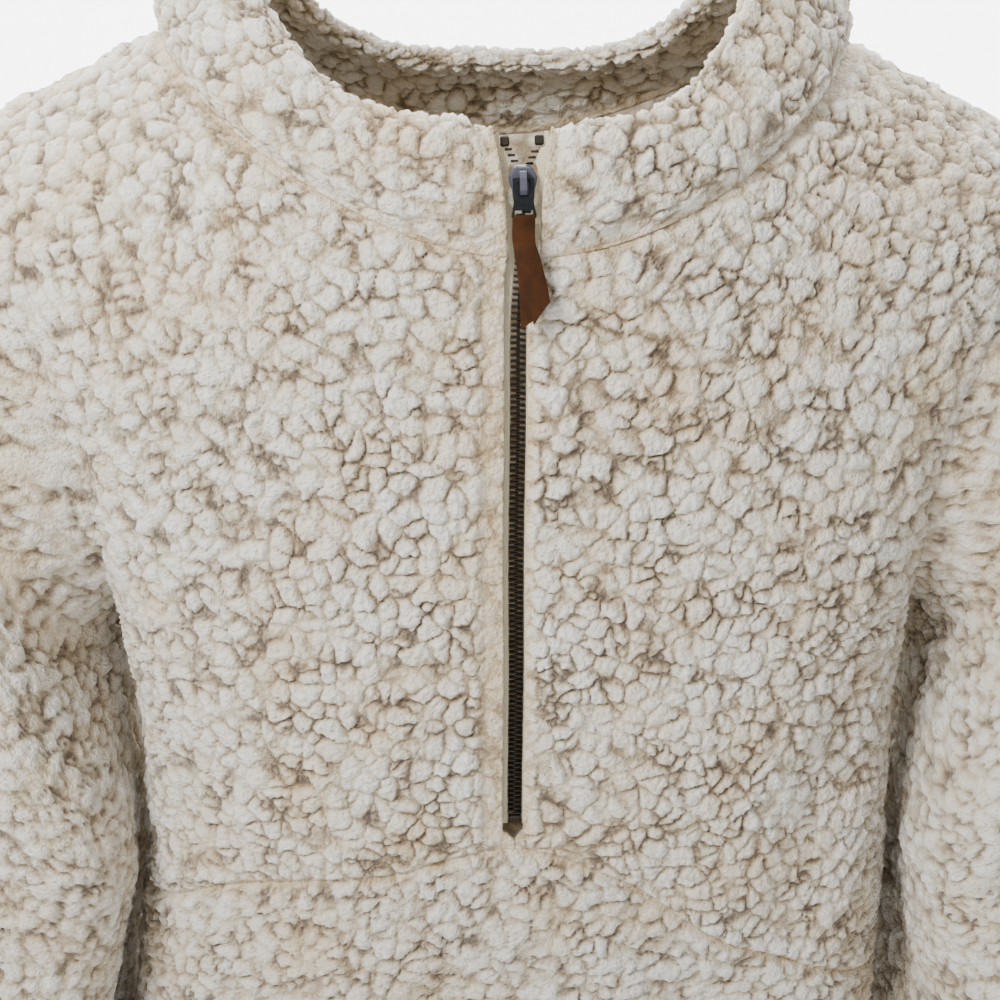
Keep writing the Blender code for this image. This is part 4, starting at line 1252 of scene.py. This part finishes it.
class PULLOVER_OT_stage(bpy.types.Operator):
    """Make the floor, the lights and the camera"""

    bl_idname = "pullover.stage"
    bl_label = "Stage"

    def execute(self, context):
        scene = context.scene
        settings = scene.pullover_stage
        bm = bmesh.new()
        bmesh.ops.create_grid(bm, x_segments=24, y_segments=24, size=FLOOR_SIZE)
        for vert in bm.verts:
            rise = max(vert.co.y - SWEEP_START, 0.0)
            vert.co.z = HEM_Z * MM - FLOOR_BELOW_HEM + rise**2
            vert.co.y -= rise * SWEEP_PULL
        finished("floor", bm, [material("studio floor")])
        world = bpy.data.worlds.new("studio light")
        world.use_nodes = True
        background = world.node_tree.nodes["Background"]
        background.inputs["Color"].default_value = (*settings.sky, 1.0)
        background.inputs["Strength"].default_value = settings.sky_strength
        scene.world = world
        self.light("key light", KEY_PLACE, KEY_SIZE, settings.key_power)
        self.light("fill light", FILL_PLACE, FILL_SIZE, settings.fill_power)
        camera = bpy.data.cameras.new("camera")
        camera.sensor_fit = "HORIZONTAL"
        camera.angle = math.radians(CAMERA_FIELD)
        camera.dof.use_dof = False
        thing = linked("camera", camera)
        pitch = Matrix.Rotation(math.radians(90 - CAMERA_PITCH), 4, "X")
        roll = Matrix.Rotation(math.radians(-CAMERA_ROLL), 4, "Z")
        thing.matrix_world = Matrix.Translation(CAMERA_PLACE) @ pitch @ roll
        scene.camera = thing
        return {"FINISHED"}

    def light(self, name, place, size, power):
        """A soft square light that looks at the chest."""
        data = bpy.data.lights.new(name, "AREA")
        data.size = size
        data.energy = power
        thing = linked(name, data)
        thing.location = place
        towards = Vector(CHEST) - Vector(place)
        thing.rotation_euler = towards.to_track_quat("-Z", "Y").to_euler()


class PULLOVER_PT_panel(bpy.types.Panel):
    """Settings and steps of the pullover"""

    bl_idname = "PULLOVER_PT_panel"
    bl_label = "Pullover"
    bl_space_type = "VIEW_3D"
    bl_region_type = "UI"
    bl_category = "Pullover"

    def draw(self, context):
        for group in ("pullover_fleece", "pullover_zip", "pullover_stage"):
            box = self.layout.box()
            settings = getattr(context.scene, group)
            for key in settings.__annotations__:
                box.prop(settings, key)
        for step in STEPS:
            self.layout.operator(step.bl_idname)


STEPS = (
    PULLOVER_OT_fronts,
    PULLOVER_OT_back,
    PULLOVER_OT_sleeves,
    PULLOVER_OT_collar,
    PULLOVER_OT_zip,
    PULLOVER_OT_pull,
    PULLOVER_OT_stage,
)
GROUPS = {"pullover_fleece": FleeceSettings, "pullover_zip": ZipSettings, "pullover_stage": StageSettings}


def register():
    for kind in (*GROUPS.values(), *STEPS, PULLOVER_PT_panel):
        bpy.utils.register_class(kind)
    for name, kind in GROUPS.items():
        setattr(bpy.types.Scene, name, PointerProperty(type=kind))


def unregister():
    for name in GROUPS:
        delattr(bpy.types.Scene, name)
    for kind in reversed((*GROUPS.values(), *STEPS, PULLOVER_PT_panel)):
        bpy.utils.unregister_class(kind)


def main():
    register()
    for step in STEPS:
        group, name = step.bl_idname.split(".")
        getattr(getattr(bpy.ops, group), name)()


if __name__ == "__main__":
    main()
